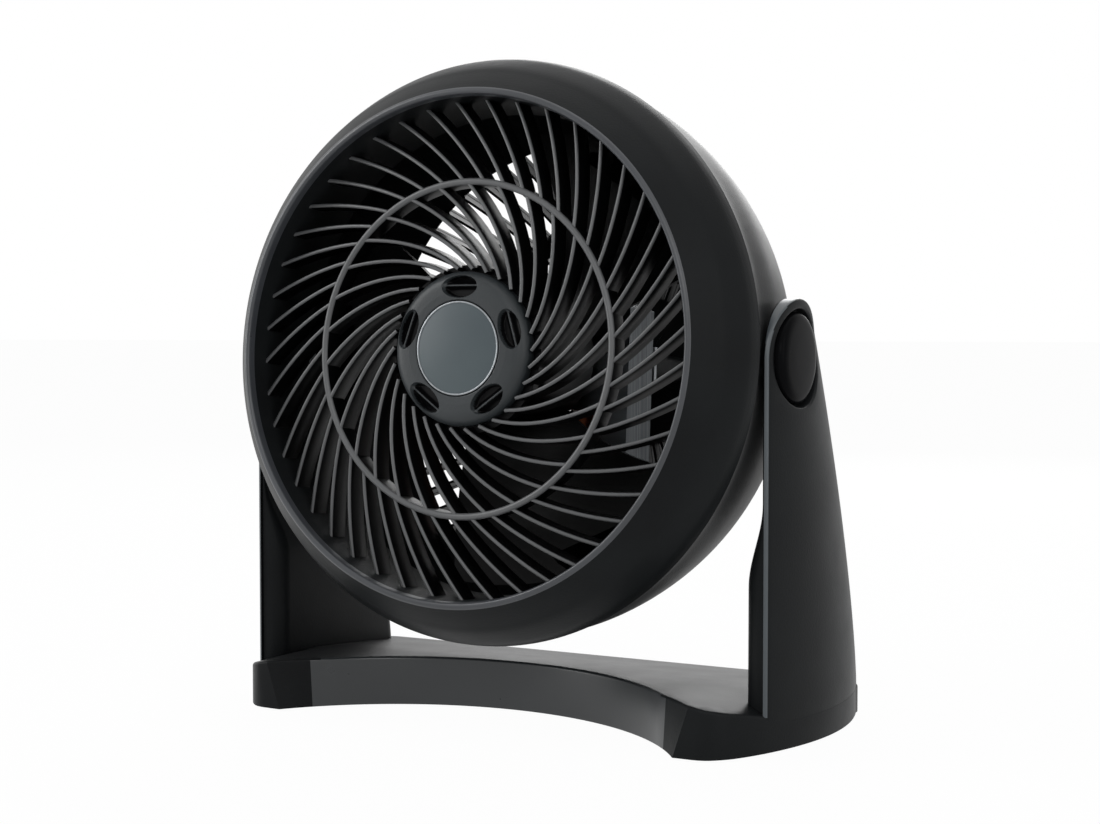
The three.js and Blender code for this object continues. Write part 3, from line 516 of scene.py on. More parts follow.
def metal(name, dark, light, rough, scale=(900.0, 900.0, 60.0), bump=0.08):
    """Bare or plated metal: drawn or turned lines as stretched noise in colour, roughness and bump."""
    material, tree, shader = new_material(name)
    place = node(tree, "ShaderNodeTexCoord").outputs["Object"]
    stretched = node(tree, "ShaderNodeMapping", ("Vector", place))
    stretched.inputs["Scale"].default_value = scale
    lines = node(tree, "ShaderNodeTexNoise", ("Vector", stretched.outputs[0]), Scale=1.0, Detail=3.0)
    colour = ramp(tree, lines.outputs["Fac"], linear(dark), linear(light))
    tree.links.new(colour.outputs["Color"], shader.inputs["Base Color"])
    shader.inputs["Metallic"].default_value = 1.0
    shader.inputs["Roughness"].default_value = rough
    raised = node(tree, "ShaderNodeBump", ("Height", lines.outputs["Fac"]), Strength=bump, Distance=0.0003)
    tree.links.new(raised.outputs["Normal"], shader.inputs["Normal"])
    return material


# Finely matted ABS, the palest plastic of the fan.
BADGE_PLASTIC = moulded("abs_badge_matted", "#434c50", "#4d575a", 0.46, grain=1700.0, bump=0.05, shine=0.35)
# Hot-stamped foil on the ring: a thin bright line.
BRIGHT_RING = metal("hot_stamped_silver", "#7d8184", "#96999c", 0.34)

badge = lathe([
    (0.0, -42.6), (BADGE_RADIUS - 0.1, -42.6), (BADGE_RADIUS - 0.1, -BADGE_REACH + 0.2),
    (BADGE_RADIUS - 0.7, -BADGE_REACH - 0.05), (0.0, -BADGE_REACH - 0.2),
], 160)
bright = lathe(rounded([
    (BADGE_RADIUS - 0.75, -BADGE_REACH + 0.3), (BADGE_RADIUS - 0.65, -BADGE_REACH - 0.25),
    (BADGE_RADIUS - 0.05, -BADGE_REACH - 0.25), (BADGE_RADIUS + 0.05, -BADGE_REACH + 0.3),
], 0.2, 3), 200)
add_piece("badge_face", badge, in_head, BADGE_PLASTIC, "head", ["badge_disc"])
add_piece("badge_ring", bright, in_head, BRIGHT_RING, "head")


# ---------------------------------------------------------------------------
# Rear housing: charcoal ABS, screwed to the front shell at the seam. Behind the arms it narrows
# and is pierced by two rows of long windows between deep ribs, with two rings of slats across the
# rear row, where the fan draws its air.

REAR_RIBS = 56
RIB_WIDTH = 1.8
REAR_DEPTH = 99.0
HOUSING_KNOTS = [
    (SEAM_RADIUS - 0.8, -SEAM_REACH + 0.3), (101.6, -17.0), (101.1, 0.0), (97.0, 20.0), (89.5, 40.0),
    (79.0, 60.0), (65.0, 79.0), (50.0, 91.0), (34.0, REAR_DEPTH - 1.6), (0.0, REAR_DEPTH),
]
WINDOW_ROWS = [(0.47, 0.67), (0.71, 0.9)]
KNOB_HOLE = 4.2


def rear_housing():
    """The wall as a grid of cells around the axis. Cells inside a window are left out, and each
    edge between a cell and a window gets a wall through the shell's thickness."""
    fine = curve_through(HOUSING_KNOTS, 24)
    shares = np.linspace(0.0, 1.0, len(fine))
    cuts = sorted({0.0, 1.0} | {edge for row in WINDOW_ROWS for edge in row})
    stations = []
    for low, high in zip(cuts, cuts[1:]):
        count = max(2, int(round((high - low) * 70)))
        stations += list(np.linspace(low, high, count, endpoint=False))
    stations = np.array(stations + [1.0])
    r_out = np.interp(stations, shares, fine[:, 0])
    y_out = np.interp(stations, shares, fine[:, 1])
    slope = np.stack([np.gradient(r_out), np.gradient(y_out)], axis=1)
    slope /= np.linalg.norm(slope, axis=1)[:, None]
    keep = r_out > KNOB_HOLE
    r_out, y_out, slope, stations = r_out[keep], y_out[keep], slope[keep], stations[keep]
    r_in = r_out - slope[:, 1] * SHELL_WALL
    y_in = y_out + slope[:, 0] * SHELL_WALL
    per_rib = 5
    columns = REAR_RIBS * per_rib
    rows = len(stations)
    open_row = [any(low - 1e-6 <= 0.5 * (stations[i] + stations[i + 1]) <= high for low, high in WINDOW_ROWS)
                for i in range(rows - 1)]
    base = TAU / REAR_RIBS
    points = np.zeros((rows, columns, 2, 3))
    for i in range(rows):
        half = 0.5 * RIB_WIDTH / r_out[i]
        inner = np.linspace(half, base - half, per_rib - 1)
        offsets = np.concatenate([[0.0], inner])
        a = np.concatenate([k * base + offsets for k in range(REAR_RIBS)])
        for layer, (r, y) in enumerate(((r_out[i], y_out[i]), (r_in[i], y_in[i]))):
            points[i, :, layer] = np.stack([r * np.sin(a), np.full(columns, y), r * np.cos(a)], axis=1)

    def index(i, j, layer):
        return (i * columns + j % columns) * 2 + layer

    def solid(i, j):
        if i < 0 or i >= rows - 1:
            return False
        return not (open_row[i] and j % per_rib in (1, 2, 3))

    faces = []
    for i in range(rows - 1):
        for j in range(columns):
            if not solid(i, j):
                continue
            for layer in (0, 1):
                faces.append([index(i, j, layer), index(i, j + 1, layer),
                              index(i + 1, j + 1, layer), index(i + 1, j, layer)])
            for other, a, b in (((i - 1, j), (i, j), (i, j + 1)), ((i + 1, j), (i + 1, j), (i + 1, j + 1)),
                                ((i, (j - 1) % columns), (i, j), (i + 1, j)),
                                ((i, (j + 1) % columns), (i, j + 1), (i + 1, j + 1))):
                if not solid(*other):
                    faces.append([index(*a, 0), index(*b, 0), index(*b, 1), index(*a, 1)])
    return points.reshape(-1, 3), faces


def bar(radius, y0, y1, x=0.0, z=0.0, steps=32):
    """A round bar along the head's axis."""
    points, faces = lathe([(0.0, y0), (radius, y0), (radius, y1), (0.0, y1)], steps)
    return points + np.array([x, 0.0, z]), faces


def cross_bar(radius, x0, x1, steps=48):
    """A round bar across the head, about the tilt axis."""
    points, faces = lathe([(0.0, x0), (radius, x0), (radius, x1), (0.0, x1)], steps)
    return points[:, [1, 0, 2]], faces


SLAT_SHARES = (0.76, 0.83)
SLAT_WIDTH = 2.4
SLAT_DEPTH = 4.6


def housing_section(share):
    """A point of the housing's inner face at a share of its outline, and the way inwards there."""
    fine = curve_through(HOUSING_KNOTS, 24)
    shares = np.linspace(0.0, 1.0, len(fine))
    here = np.array([np.interp(share, shares, fine[:, k]) for k in (0, 1)])
    ahead = np.array([np.interp(share + 0.004, shares, fine[:, k]) for k in (0, 1)])
    along = (ahead - here) / np.linalg.norm(ahead - here)
    inward = np.array([-along[1], along[0]])
    return here + inward * (SHELL_WALL - 0.9), along, inward


def housing_slats():
    """Two rings across the rear face's windows, each a slat that stands inwards from the wall."""
    slats = []
    for share in SLAT_SHARES:
        corner, along, inward = housing_section(share)
        half = along * SLAT_WIDTH / 2
        deep = inward * SLAT_DEPTH
        section = [corner - half, corner + half, corner + half * 0.7 + deep, corner - half * 0.7 + deep]
        slats.append(lathe(section, 144))
    return slats


def housing_fin(turn):
    """The inner part of one rib: a fin that follows the wall from the first window to the last."""
    rings = []
    for share in np.linspace(WINDOW_ROWS[0][0] - 0.01, WINDOW_ROWS[-1][1], 26):
        corner, along, inward = housing_section(share)
        deep = corner + inward * SLAT_DEPTH
        rings.append([(0.8, *corner), (-0.8, *corner), (-0.55, *deep), (0.55, *deep)])
    points, faces = loft([[(across, y, r) for across, r, y in ring] for ring in rings])
    x = points[:, 0] * math.cos(turn) + points[:, 2] * math.sin(turn)
    z = points[:, 2] * math.cos(turn) - points[:, 0] * math.sin(turn)
    return np.stack([x, points[:, 1], z], axis=1), faces


rear_grid = housing_slats() + [housing_fin(TAU * i / REAR_RIBS) for i in range(REAR_RIBS)]
# The rear slats and fins take the near-black grille material: painted shade inside the windows.
add_piece("rear_grille_slats", gather(rear_grid), in_head, GRILLE_SHADE_PLASTIC, "head",
          (), 30.0)

SCREW_ORBIT = 94.4
MOTOR_SCREW_SPAN = 24.0
housing_bosses = [bar(5.2, -13.7, -6.0, SCREW_ORBIT * math.cos(a), SCREW_ORBIT * math.sin(a))
                  for a in TAU * (np.arange(4) + 0.5) / 4]
housing_bosses += [bar(5.0, 54.3, 97.0, x) for x in (-MOTOR_SCREW_SPAN, MOTOR_SCREW_SPAN)]
housing_bosses += [cross_bar(12.0, sign * 98.0, sign * 101.4) for sign in (-1, 1)]
add_piece("rear_housing_shell", gather([rear_housing()] + housing_bosses), in_head, CHARCOAL, "head",
          ["rear_housing"], 40.0)


# ---------------------------------------------------------------------------
# Impeller: three wide twisted blades of polypropylene around a hub cup, moulded in one
# piece and pressed on the motor's shaft.

# Semi-gloss polypropylene, nearly black behind the grille.
IMPELLER_PLASTIC = moulded("pp_impeller", "#070707", "#0b0b0c", 0.34, grain=900.0, bump=0.05, shine=0.15)

BLADES = 3
IMPELLER_RADIUS = 82.5
IMPELLER_HUB = 24.0
BLADE_REST = 40.0
BLADE_SWEEP = 55.0
TIP_SWEEP_MORE = 16.0
TIP_LEAD = 16.0
BLADE_CLIMB = 30.0
TIP_CLIMB_LESS = 6.0
BLADE_MIDDLE = -6.0
BLADE_BOW = 3.0
BLADE_WALL = 2.2


def blade(turn):
    """A thin shell over u (root to tip) and v (front to rear edge): its angle is sweep (v - 1/2) plus
    the tip's lead u, its depth is climb (v - 1/2) plus a bow of sin(pi v); both skins are parallel."""
    rows = 24
    columns = 30
    layers = []
    for lift in (0.0, BLADE_WALL):
        u, v = np.meshgrid(np.linspace(0.0, 1.0, rows), np.linspace(0.0, 1.0, columns), indexing="ij")
        r = IMPELLER_HUB - 2.0 + (IMPELLER_RADIUS - IMPELLER_HUB + 2.0) * u
        sweep = BLADE_SWEEP + TIP_SWEEP_MORE * u
        a = np.radians(sweep * (v - 0.5) + TIP_LEAD * u + BLADE_REST) + turn
        climb = BLADE_CLIMB - TIP_CLIMB_LESS * u
        y = BLADE_MIDDLE + climb * (v - 0.5) + BLADE_BOW * np.sin(np.pi * v) + lift
        layers.append(np.stack([r * np.cos(a), y, r * np.sin(a)], axis=-1))
    rings = [np.concatenate([layers[0][i], layers[1][i][::-1]]) for i in range(rows)]
    return loft(rings)


impeller_cup = lathe(rounded([
    (0.0, -27.0), (20.0, -27.0), (IMPELLER_HUB, -21.0), (IMPELLER_HUB, 12.0),
    (22.0, 12.0), (22.0, -20.0), (18.0, -24.8), (0.0, -24.8),
], [0.0, 3.0, 3.0, 0.4, 0.4, 2.0, 2.0, 0.0], 5), 96)
impeller = gather([blade(-TAU * i / BLADES) for i in range(BLADES)] + [impeller_cup, bar(7.0, -26.0, 10.0)])
add_piece("impeller_blades", impeller, in_head, IMPELLER_PLASTIC, "rotor",
          ["impeller"], 40.0)


# ---------------------------------------------------------------------------
# Stand shell: one charcoal ABS moulding, a flat base with a hollow front between two blunt tips,
# and two arms that rise from its sides, flare towards the back and end round about the pivot.

# The same ABS, smoother along the arms' front edges and painted there as a thin blue-grey highlight line.
ARM_EDGE_HIGHLIGHT_PLASTIC = moulded("abs_arm_edges_painted_highlight", "#3c4246", "#464c50", 0.32, bump=0.04, shine=0.5)
# The same ABS, smoother and painted lighter as a highlight on the upright wall of the base's hollow front.
HOLLOW_WALL_HIGHLIGHT_PLASTIC = moulded("abs_charcoal_wall_painted_highlight", "#232628", "#2b2e30", 0.3, bump=0.04, shine=0.5)


def in_stand(points):
    """From coordinates whose y is counted from the pivot to the row's frame."""
    return np.asarray(points, float) + np.array([0.0, PIVOT_Y, 0.0])


ARM_TOP = 20.0
FLARE = math.radians(25.8)
ARM_FOOT_REAR = 63.0
ARM_INNER = 103.6
PLINTH = 10.8
RIM = 0.8
HALF_WIDTH = 113.42
FLARE_START = PIVOT_Z + ARM_TOP * math.sin(FLARE)
FLARE_SPAN = FLARE_START - PLINTH
FLARE_DEPTH = ARM_FOOT_REAR - ARM_TOP * math.cos(FLARE)
FLARE_POWER = math.tan(FLARE) * FLARE_SPAN / FLARE_DEPTH
FOOT_BELLY = HALF_WIDTH - 105.5


def arm_rear(z):
    """Rear edge of an arm: y = foot - depth (height above the base / span)^power, up to the flare's start."""
    share = np.clip((np.asarray(z, float) - PLINTH) / FLARE_SPAN, 0.0, 1.0)
    return ARM_FOOT_REAR - FLARE_DEPTH * share ** FLARE_POWER


def arm_outside(y, z):
    """x of an arm's outer face: from 104.5 in front to 106.5 behind, swelling between the two
    edges by a belly that grows with the arm's breadth."""
    rear = arm_rear(z)
    breadth = rear + ARM_TOP
    share = np.clip((np.asarray(y, float) + ARM_TOP) / breadth, 0.0, 1.0)
    belly = FOOT_BELLY * (breadth / (ARM_FOOT_REAR + ARM_TOP)) ** 1.24
    return 104.5 + 2.0 * share + belly * 4.0 * share * (1.0 - share)


def arm_skin(y, z):
    """The arm's outer face, drawn 0.3 inside the base's wall where the arm's foot stands in it."""
    return arm_outside(y, z) - 0.3 * np.clip((PLINTH - 0.9 - np.asarray(z, float)) / 1.2, 0.0, 1.0)


def inset_loop(loop, depth):
    """Moves each point of an anticlockwise outline inwards, along the bisector of its corner."""
    p = np.asarray(loop, float)
    before = p - np.roll(p, 1, axis=0)
    after = np.roll(p, -1, axis=0) - p
    before /= np.linalg.norm(before, axis=1)[:, None]
    after /= np.linalg.norm(after, axis=1)[:, None]
    n0 = np.stack([-before[:, 1], before[:, 0]], axis=1)
    n1 = np.stack([-after[:, 1], after[:, 0]], axis=1)
    bisector = n0 + n1
    bisector /= np.linalg.norm(bisector, axis=1)[:, None]
    reach = np.minimum(1.0 / np.maximum((bisector * n1).sum(axis=1), 0.4), 1.6)
    return p + bisector * (reach * depth)[:, None]


def spread(loop, spacing):
    """An outline with no side longer than spacing."""
    out = []
    for a, b in zip(loop, np.roll(loop, -1, axis=0)):
        count = max(1, int(math.ceil(np.linalg.norm(b - a) / spacing)))
        out += [a + (b - a) * i / count for i in range(count)]
    return np.array(out)


def skin(loops, spacing):
    """Triangles inside outlines (the first holds the others as holes), with a grid of inner points.
    Returns all points, the first ones being the outlines' own, and the triangles."""
    border = np.concatenate(loops)
    low = border.min(axis=0)
    high = border.max(axis=0)
    gx, gy = np.meshgrid(np.arange(low[0] + spacing / 2, high[0], spacing),
                         np.arange(low[1] + spacing / 2, high[1], spacing))
    inner = np.stack([gx.ravel(), gy.ravel()], axis=1)
    away = inner[:, None] - border[None]
    near = np.min(np.hypot(away[..., 0], away[..., 1]), axis=1)
    inner = inner[near > spacing * 0.45]
    every = np.concatenate([border, inner])
    rings = []
    start = 0
    for loop in loops:
        rings.append(list(range(start, start + len(loop))))
        start += len(loop)
    made = delaunay_2d_cdt([Vector(p) for p in every.tolist()], [], rings, 2, 1e-6)
    used = {}
    for k, origin in enumerate(made[3]):
        used[k] = origin[0]
    faces = [[used[i] for i in face] for face in made[2]]
    return every, faces


def plate(loops, top, bottom, edge, wall=0.0, rim=None, spacing=5.0, steps=5):
    """A moulded slab over outlines in (u, v), its skins at w = top(u, v) and w = bottom(u, v).
    The upper rim is a quarter round: at inset e (1 - cos t) it lies e (1 - sin t) below the skin.
    With a wall, the underside is hollow: the wall stands on w = rim and is that thick."""
    shells = []
    points = []
    count = 0

    def row(loop, w):
        nonlocal count
        points.append(np.column_stack([loop, w]))
        count += len(loop)
        return range(count - len(loop), count)

    tops = []
    bottoms = []
    for loop in loops:
        chain = []
        if wall:
            inner = inset_loop(loop, wall)
            chain.append((inner, bottom(inner[:, 0], inner[:, 1])))
            chain.append((inner, np.full(len(loop), rim)))
            chain.append((loop, np.full(len(loop), rim)))
            bottoms.append(inner)
        else:
            chain.append((loop, bottom(loop[:, 0], loop[:, 1])))
            bottoms.append(loop)
        for t in np.radians(np.linspace(0.0, 90.0, steps)):
            moved = inset_loop(loop, edge * (1 - math.cos(t)))
            chain.append((moved, top(moved[:, 0], moved[:, 1]) - edge * (1 - math.sin(t))))
        tops.append(chain[-1][0])
        rows = [row(*one) for one in chain]
        for a, b in zip(rows, rows[1:]):
            size = len(loop)
            for j in range(size):
                k = (j + 1) % size
                shells.append([a[j], a[k], b[k], b[j]])
    for outlines, height in ((tops, top), (bottoms, bottom)):
        every, faces = skin(outlines, spacing)
        used = row(every, height(every[:, 0], every[:, 1]))
        shells += [[used[i] for i in face] for face in faces]
    return np.concatenate(points), shells


PROW_REACH = 40.0
PROW_GAP = 80.0
NOSE = 11.0
HOLLOW_RADIUS = 98.0
HOLLOW_CENTRE = -PROW_REACH - math.sqrt(HOLLOW_RADIUS ** 2 - PROW_GAP ** 2)
HOLLOW_MIDDLE = HOLLOW_CENTRE + HOLLOW_RADIUS
REAR_REACH = 68.5
REAR_CORNER = 11.0


def base_outline():
    """The base from above, anticlockwise: the right half from its tip to the rear corner, its mirror,
    and the hollow front's arc."""
    right = [(PROW_GAP, -PROW_REACH), (PROW_GAP + NOSE, -PROW_REACH + 0.3), (97.6, -33.6),
             (102.2, -25.2), (104.5, -ARM_TOP)]
    right = [tuple(p) for p in rounded(right, [2.2, 4.0, 4.0, 3.0, 0.0], 5, closed=False)]
    for y in np.linspace(-ARM_TOP, REAR_REACH - REAR_CORNER, 24)[1:]:
        right.append((float(arm_outside(y, PLINTH)), y))
    corner_x = right[-1][0] - REAR_CORNER
    corner_y = REAR_REACH - REAR_CORNER
    for a in np.radians(np.linspace(0.0, 90.0, 10))[1:]:
        right.append((corner_x + REAR_CORNER * math.cos(a), corner_y + REAR_CORNER * math.sin(a)))
    left = [(-x, y) for x, y in right][::-1]
    half = math.asin(PROW_GAP / HOLLOW_RADIUS)
    arc = [(HOLLOW_RADIUS * math.sin(a), HOLLOW_CENTRE + HOLLOW_RADIUS * math.cos(a))
           for a in np.linspace(-half, half, 60)[1:-1]]
    return spread(np.array(right + left + arc), 4.0)


def deck(x, y):
    """Height of the base's top: 8 above the plinth along the hollow front, falling to the rear by
    the 1.2th power and rolling off by the 4th power towards the sides."""
    roll = np.clip((np.abs(x) - 55.0) / (HALF_WIDTH - 60.0), 0.0, 1.0) ** 4
    fall = np.clip((np.asarray(y) - HOLLOW_MIDDLE) / (REAR_REACH - HOLLOW_MIDDLE), 0.0, 1.0) ** 1.2
    return PLINTH + 8.0 * (1.0 - roll) * (1.0 - fall)


BASE_WALL = 3.0
TIP_LEAN = 5.5
base_points, base_faces = plate([base_outline()], deck, lambda x, y: deck(x, y) - BASE_WALL, 1.1,
                                wall=BASE_WALL, rim=RIM, spacing=4.0)
# Each tip's inner corner leans outwards as it rises.
lean = np.clip((PROW_GAP + NOSE - np.abs(base_points[:, 0])) / NOSE, 0.0, 1.0)
lean *= np.clip((-PROW_REACH + 12.0 - base_points[:, 1]) / 12.0, 0.0, 1.0)
lean *= np.clip((base_points[:, 2] - RIM) / (PLINTH - RIM), 0.0, 1.0)
base_points[:, 0] += TIP_LEAN * lean * np.sign(base_points[:, 0])
base_shape = (base_points, base_faces)


def arm_outline():
    """The arm from the side, in (y, z): up the straight front edge, round the top, down the flare."""
    front = [(-ARM_TOP, z) for z in np.linspace(RIM, PIVOT_Z, 34)]
    turns = np.linspace(0.0, math.pi - FLARE, 44)[1:]
    top = [(-ARM_TOP * math.cos(a), PIVOT_Z + ARM_TOP * math.sin(a)) for a in turns]
    rear = [(float(arm_rear(z)), z) for z in np.linspace(FLARE_START, PLINTH, 44)[1:]]
    foot = [(float(arm_rear(PLINTH)), RIM)]
    return np.array(front + top + rear + foot)[::-1]


POCKET = 16.6
pocket_turns = np.linspace(0.0, -TAU, 72, endpoint=False)
pocket_loop = np.array([(POCKET * math.cos(a), PIVOT_Z + POCKET * math.sin(a)) for a in pocket_turns])
arm_plate = plate([arm_outline(), pocket_loop], arm_skin, lambda y, z: np.full(len(y), ARM_INNER), 0.9,
                  spacing=4.0)


def sideways(shape, sign):
    """A shape built in (y, z, x), stood up and mirrored to the side that sign names."""
    points, faces = shape
    return points[:, [2, 0, 1]] * np.array([sign, 1.0, 1.0]), faces


def arm_disc(sign):
    """The floor of the pocket, a thin disc across the arm."""
    points, faces = cross_bar(POCKET + 0.6, sign * ARM_INNER, sign * 105.1, 72)
    return points + np.array([0.0, 0.0, PIVOT_Z]), faces


stand_shapes = [base_shape]
stand_shapes += [sideways(arm_plate, sign) for sign in (-1, 1)]
stand_shapes += [arm_disc(sign) for sign in (-1, 1)]
made_stand = add_piece("stand_moulding", gather(stand_shapes), in_stand, CHARCOAL, "stand",
                       ["stand_shell"], 34.0)


def on_arm_edge(place):
    """True on the narrow rounding along the front edge of an arm."""
    x = abs(place[0])
    y = place[1] - PIVOT_Y
    edge = -math.sqrt(max(ARM_TOP ** 2 - max(place[2] - PIVOT_Z, 0.0) ** 2, 0.0))
    return place[2] > 12.0 and y < 0.0 and edge - 0.1 < y < edge + 0.85 and x > 103.7


def on_hollow_wall(place):
    """True on the outer face of the wall that follows the base's hollow front."""
    from_centre = math.hypot(place[0], place[1] - PIVOT_Y - HOLLOW_CENTRE)
    return place[2] > RIM and abs(from_centre - HOLLOW_RADIUS) < 0.5 and abs(place[0]) < PROW_GAP - 1.0


# The arms' front roundings take the blue-grey edge material: a painted highlight.
finish_faces(made_stand, ARM_EDGE_HIGHLIGHT_PLASTIC, on_arm_edge)
# The hollow front's wall takes the lighter wall material: a painted highlight.
finish_faces(made_stand, HOLLOW_WALL_HIGHLIGHT_PLASTIC, on_hollow_wall)


# ---------------------------------------------------------------------------
# Arm covers: charcoal ABS shells that close each arm on the inside. They are thin beside the head
# and swell below it in an S, where the arm needs its stiffness.

COVER_FACE = 102.4
COVER_SWELL = 6.9
COVER_OUTSIDE = ARM_INNER - 0.3
COVER_LEVELS = np.concatenate([
    np.linspace(8.0, 131.2, 60), PIVOT_Z + ARM_TOP * np.sin(np.radians(np.linspace(2.0, 84.0, 24))),
])


def smooth(t):
    """3 t^2 - 2 t^3, with t held between 0 and 1."""
    t = np.clip(t, 0.0, 1.0)
    return t * t * (3.0 - 2.0 * t)


def arm_cover(sign):
    """Horizontal rings up the arm: a flat outer side against the arm and a rounded inner side."""
    rings = []
    for z in COVER_LEVELS:
        up = z - PIVOT_Z
        front = -ARM_TOP if up < 0 else -math.sqrt(max(ARM_TOP ** 2 - up ** 2, 0.0))
        rear = float(arm_rear(z)) if z < FLARE_START else math.sqrt(max(ARM_TOP ** 2 - up ** 2, 0.0))
        front += 1.1
        rear -= 1.1
        swell = COVER_SWELL * float(smooth((82.8 - z) / 28.0))
        face = COVER_FACE - swell
        turn = min(1.2 + swell * 0.8, (rear - front) / 3.0)
        t = np.radians(np.linspace(0.0, 90.0, 7))
        across = COVER_OUTSIDE - (COVER_OUTSIDE - face) * np.sin(t)
        corner_rear = np.stack([across, rear - turn + turn * np.cos(t)], axis=1)
        corner_front = np.stack([across, front + turn - turn * np.cos(t)], axis=1)
        outline = np.concatenate([corner_rear, corner_front[::-1]])
        rings.append([(sign * x, y, z) for x, y in outline])
    return loft(rings)


for side, sign in (("left", -1), ("right", 1)):
    add_piece(f"arm_cover_shell_{side}", arm_cover(sign), in_stand, CHARCOAL, "stand",
              [f"arm_cover_{side}"], 40.0)


# ---------------------------------------------------------------------------
# Pivot caps: polished charcoal ABS domes that snap into the pockets over the tilt screws.

# Polished ABS, nearly black but for a bright line where the dome turns away.
GLOSS_PLASTIC = moulded("abs_charcoal_polished", "#0c0c0d", "#101113", 0.2, grain=700.0, bump=0.01,
                        spread=0.03, shine=0.015)

CAP_RADIUS = 15.6
CAP_FLOOR = 107.2


def pivot_cap(sign):
    """A low dome with a steep rounded shoulder at its rim."""
    profile = rounded([
        (0.0, 105.4), (CAP_RADIUS, 105.4), (CAP_RADIUS, CAP_FLOOR + 0.2), (CAP_RADIUS * 0.9, CAP_FLOOR + 1.7),
        (CAP_RADIUS * 0.5, CAP_FLOOR + 2.1), (0.0, CAP_FLOOR + 2.2),
    ], [0.0, 0.2, 1.0, 2.4, 3.0, 0.0], 8)
    points, faces = lathe(profile, 128)
    points = points[:, [1, 0, 2]] * np.array([sign, 1.0, 1.0]) + np.array([0.0, 0.0, PIVOT_Z])
    return points, faces


for side, sign in (("left", -1), ("right", 1)):
    add_piece(f"pivot_cap_dome_{side}", pivot_cap(sign), in_stand, GLOSS_PLASTIC, "stand",
              [f"pivot_cap_{side}"])


# ---------------------------------------------------------------------------
# Speed knob: polished charcoal ABS, a low dial with a straight grip across it, pushed on the
# switch's stem at the back.

KNOB_RADIUS = 14.0
knob_dial = lathe(rounded([
    (0.0, 99.9), (KNOB_RADIUS, 99.9), (KNOB_RADIUS, 102.6), (KNOB_RADIUS - 1.0, 103.4), (0.0, 103.4),
], [0.0, 0.3, 0.8, 0.8, 0.0], 5), 96)
grip_outline = rounded([(-2.6, -12.4), (2.6, -12.4), (2.6, 12.4), (-2.6, 12.4)], 2.2, 6)
grip_rings = [np.column_stack([grip_outline[:, 0] * s, np.full(len(grip_outline), y), grip_outline[:, 1] * s])
              for y, s in ((102.0, 1.0), (109.2, 0.97), (109.8, 0.9), (110.0, 0.8))]
add_piece("speed_knob_dial", gather([knob_dial, loft(grip_rings)]), in_head, GLOSS_PLASTIC, "knob",
          ["speed_knob"], 36.0)


# ---------------------------------------------------------------------------
# Winding tape: pale polyester tape in a rounded sleeve around the lower half of the motor's coil,
# which is seen through the grille below the hub.

# Pale polyester tape in satin layers.
TAPE = moulded("polyester_tape", "#8c8783", "#a5a09b", 0.3, grain=300.0, bump=0.1, shine=0.5)

tape_outline = rounded([(17.2, -46.7), (54.8, -46.7), (54.8, -38.5), (17.2, -38.5)], 2.4, 6)
tape_rings = [[(x, y, z) for y, z in (tape_outline - (36.0, -42.6)) * s + (36.0, -42.6)]
              for x, s in ((-13.0, 0.93), (-12.2, 1.0), (12.2, 1.0), (13.0, 0.93))]
add_piece("coil_tape_sleeve", loft(tape_rings), in_head, TAPE, "head")


# ---------------------------------------------------------------------------
# Pieces that keep their CAD form: the motor, the switch and its connector, the screws and washers, the
# cord's inlet bush, the base plate and the feet. They get their material here.

# Soft black rubber, quite dull.
RUBBER = moulded("rubber_black", "#131313", "#1b1b1b", 0.78, grain=500.0, bump=0.2)
# Phenolic moulding, dull and nearly black.
SWITCH_PLASTIC = moulded("phenolic_switch", "#1d1d20", "#27262a", 0.55, grain=600.0, bump=0.15)
# Red nylon.
CONNECTOR = moulded("nylon_red", "#b8431c", "#cf5427", 0.4, grain=500.0, bump=0.05)
# Zinc-plated steel, pale and satin.
ZINC = metal("zinc_plated_steel", "#8e9396", "#a9adb0", 0.38)
# Turned steel with fine lines.
STEEL = metal("turned_steel", "#9c9fa3", "#b7babd", 0.28)
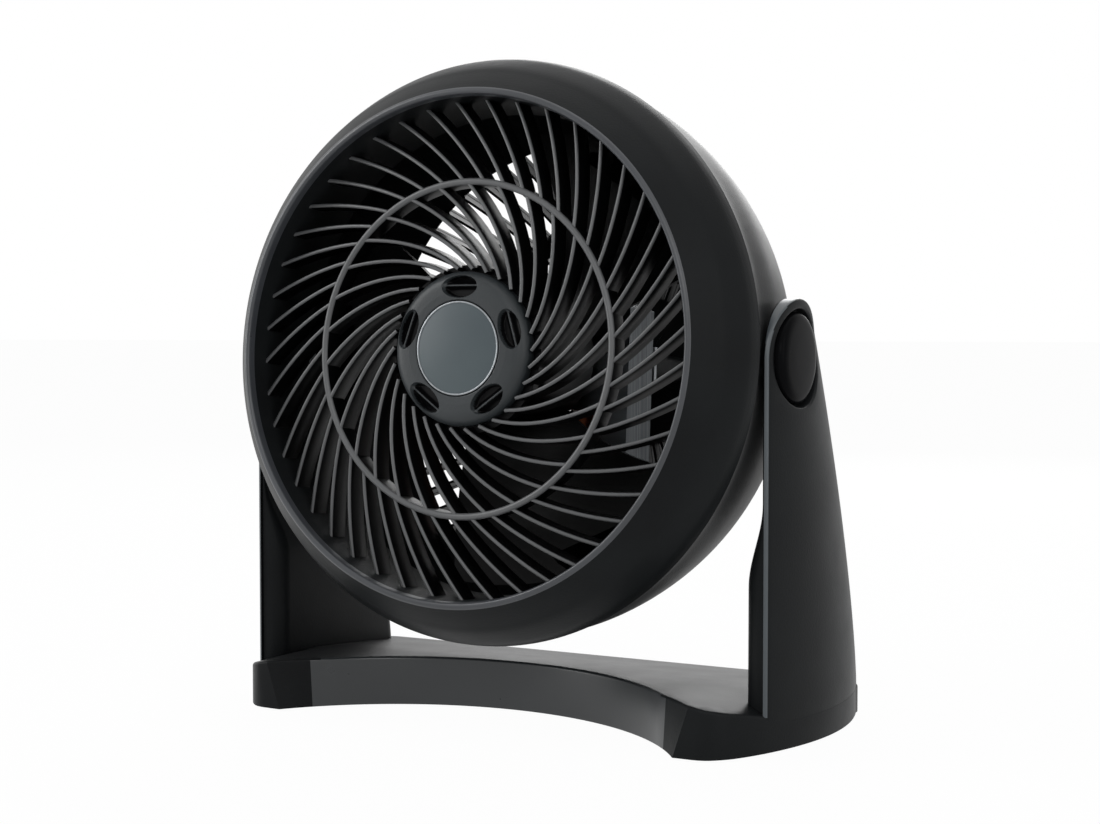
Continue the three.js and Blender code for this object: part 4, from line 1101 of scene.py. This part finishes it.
# Stacked electrical steel: the sheets show as fine lines across the axis.
LAMINATION = metal("laminated_steel", "#4d5053", "#777b7e", 0.5, scale=(20.0, 1900.0, 20.0), bump=0.5)
# Oil-filled sintered bronze, brown and satin.
BRONZE = metal("sintered_bronze", "#8f6430", "#a97a3e", 0.42)
# Enamelled copper wire, wound in fine turns that show as lines.
COPPER = metal("enamelled_copper", "#8d421c", "#b8622f", 0.3, scale=(20.0, 20.0, 1500.0), bump=0.5)

CARRIED = {
    "base_plate": CHARCOAL, "cord_inlet": RUBBER, "stator": LAMINATION, "rotor_core": LAMINATION,
    "coil": COPPER, "motor_bracket": ZINC, "bearing": BRONZE, "motor_screw": ZINC,
    "switch_body": SWITCH_PLASTIC,
    "wire_connector": CONNECTOR, "motor_shaft": STEEL, "impeller_nut": ZINC, "head_screw": ZINC,
    "base_screw": ZINC, "tilt_screw": STEEL, "tilt_washer": STEEL, "foot": RUBBER,
}
for name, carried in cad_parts.items():
    for start, material in CARRIED.items():
        if name.startswith(start):
            carried.data.materials.clear()
            carried.data.materials.append(material)


# ---------------------------------------------------------------------------
# Floor: a plain white sheet that keeps the soft shadow under the stand.

floor_material, floor_tree, floor_shader = new_material("white_floor")
floor_shader.inputs["Base Color"].default_value = (0.86, 0.86, 0.86, 1.0)
floor_shader.inputs["Roughness"].default_value = 0.9
glow = floor_tree.nodes.new("ShaderNodeEmission")
glow.inputs["Color"].default_value = (1.0, 1.0, 1.0, 1.0)
glow.inputs["Strength"].default_value = 1.0
floor_mix = whitened(floor_tree, floor_shader, 0.97)
floor_tree.links.new(glow.outputs[0], floor_mix.inputs[2])
floor_tree.links.new(floor_mix.outputs[0], floor_tree.nodes["Material Output"].inputs["Surface"])
floor_mesh = bpy.data.meshes.new("floor")
floor_mesh.from_pydata([(-30, -30, 0), (30, -30, 0), (30, 30, 0), (-30, 30, 0)], [], [(0, 1, 2, 3)])
floor_mesh.materials.append(floor_material)
floor = bpy.data.objects.new("floor", floor_mesh)
bpy.context.scene.collection.objects.link(floor)
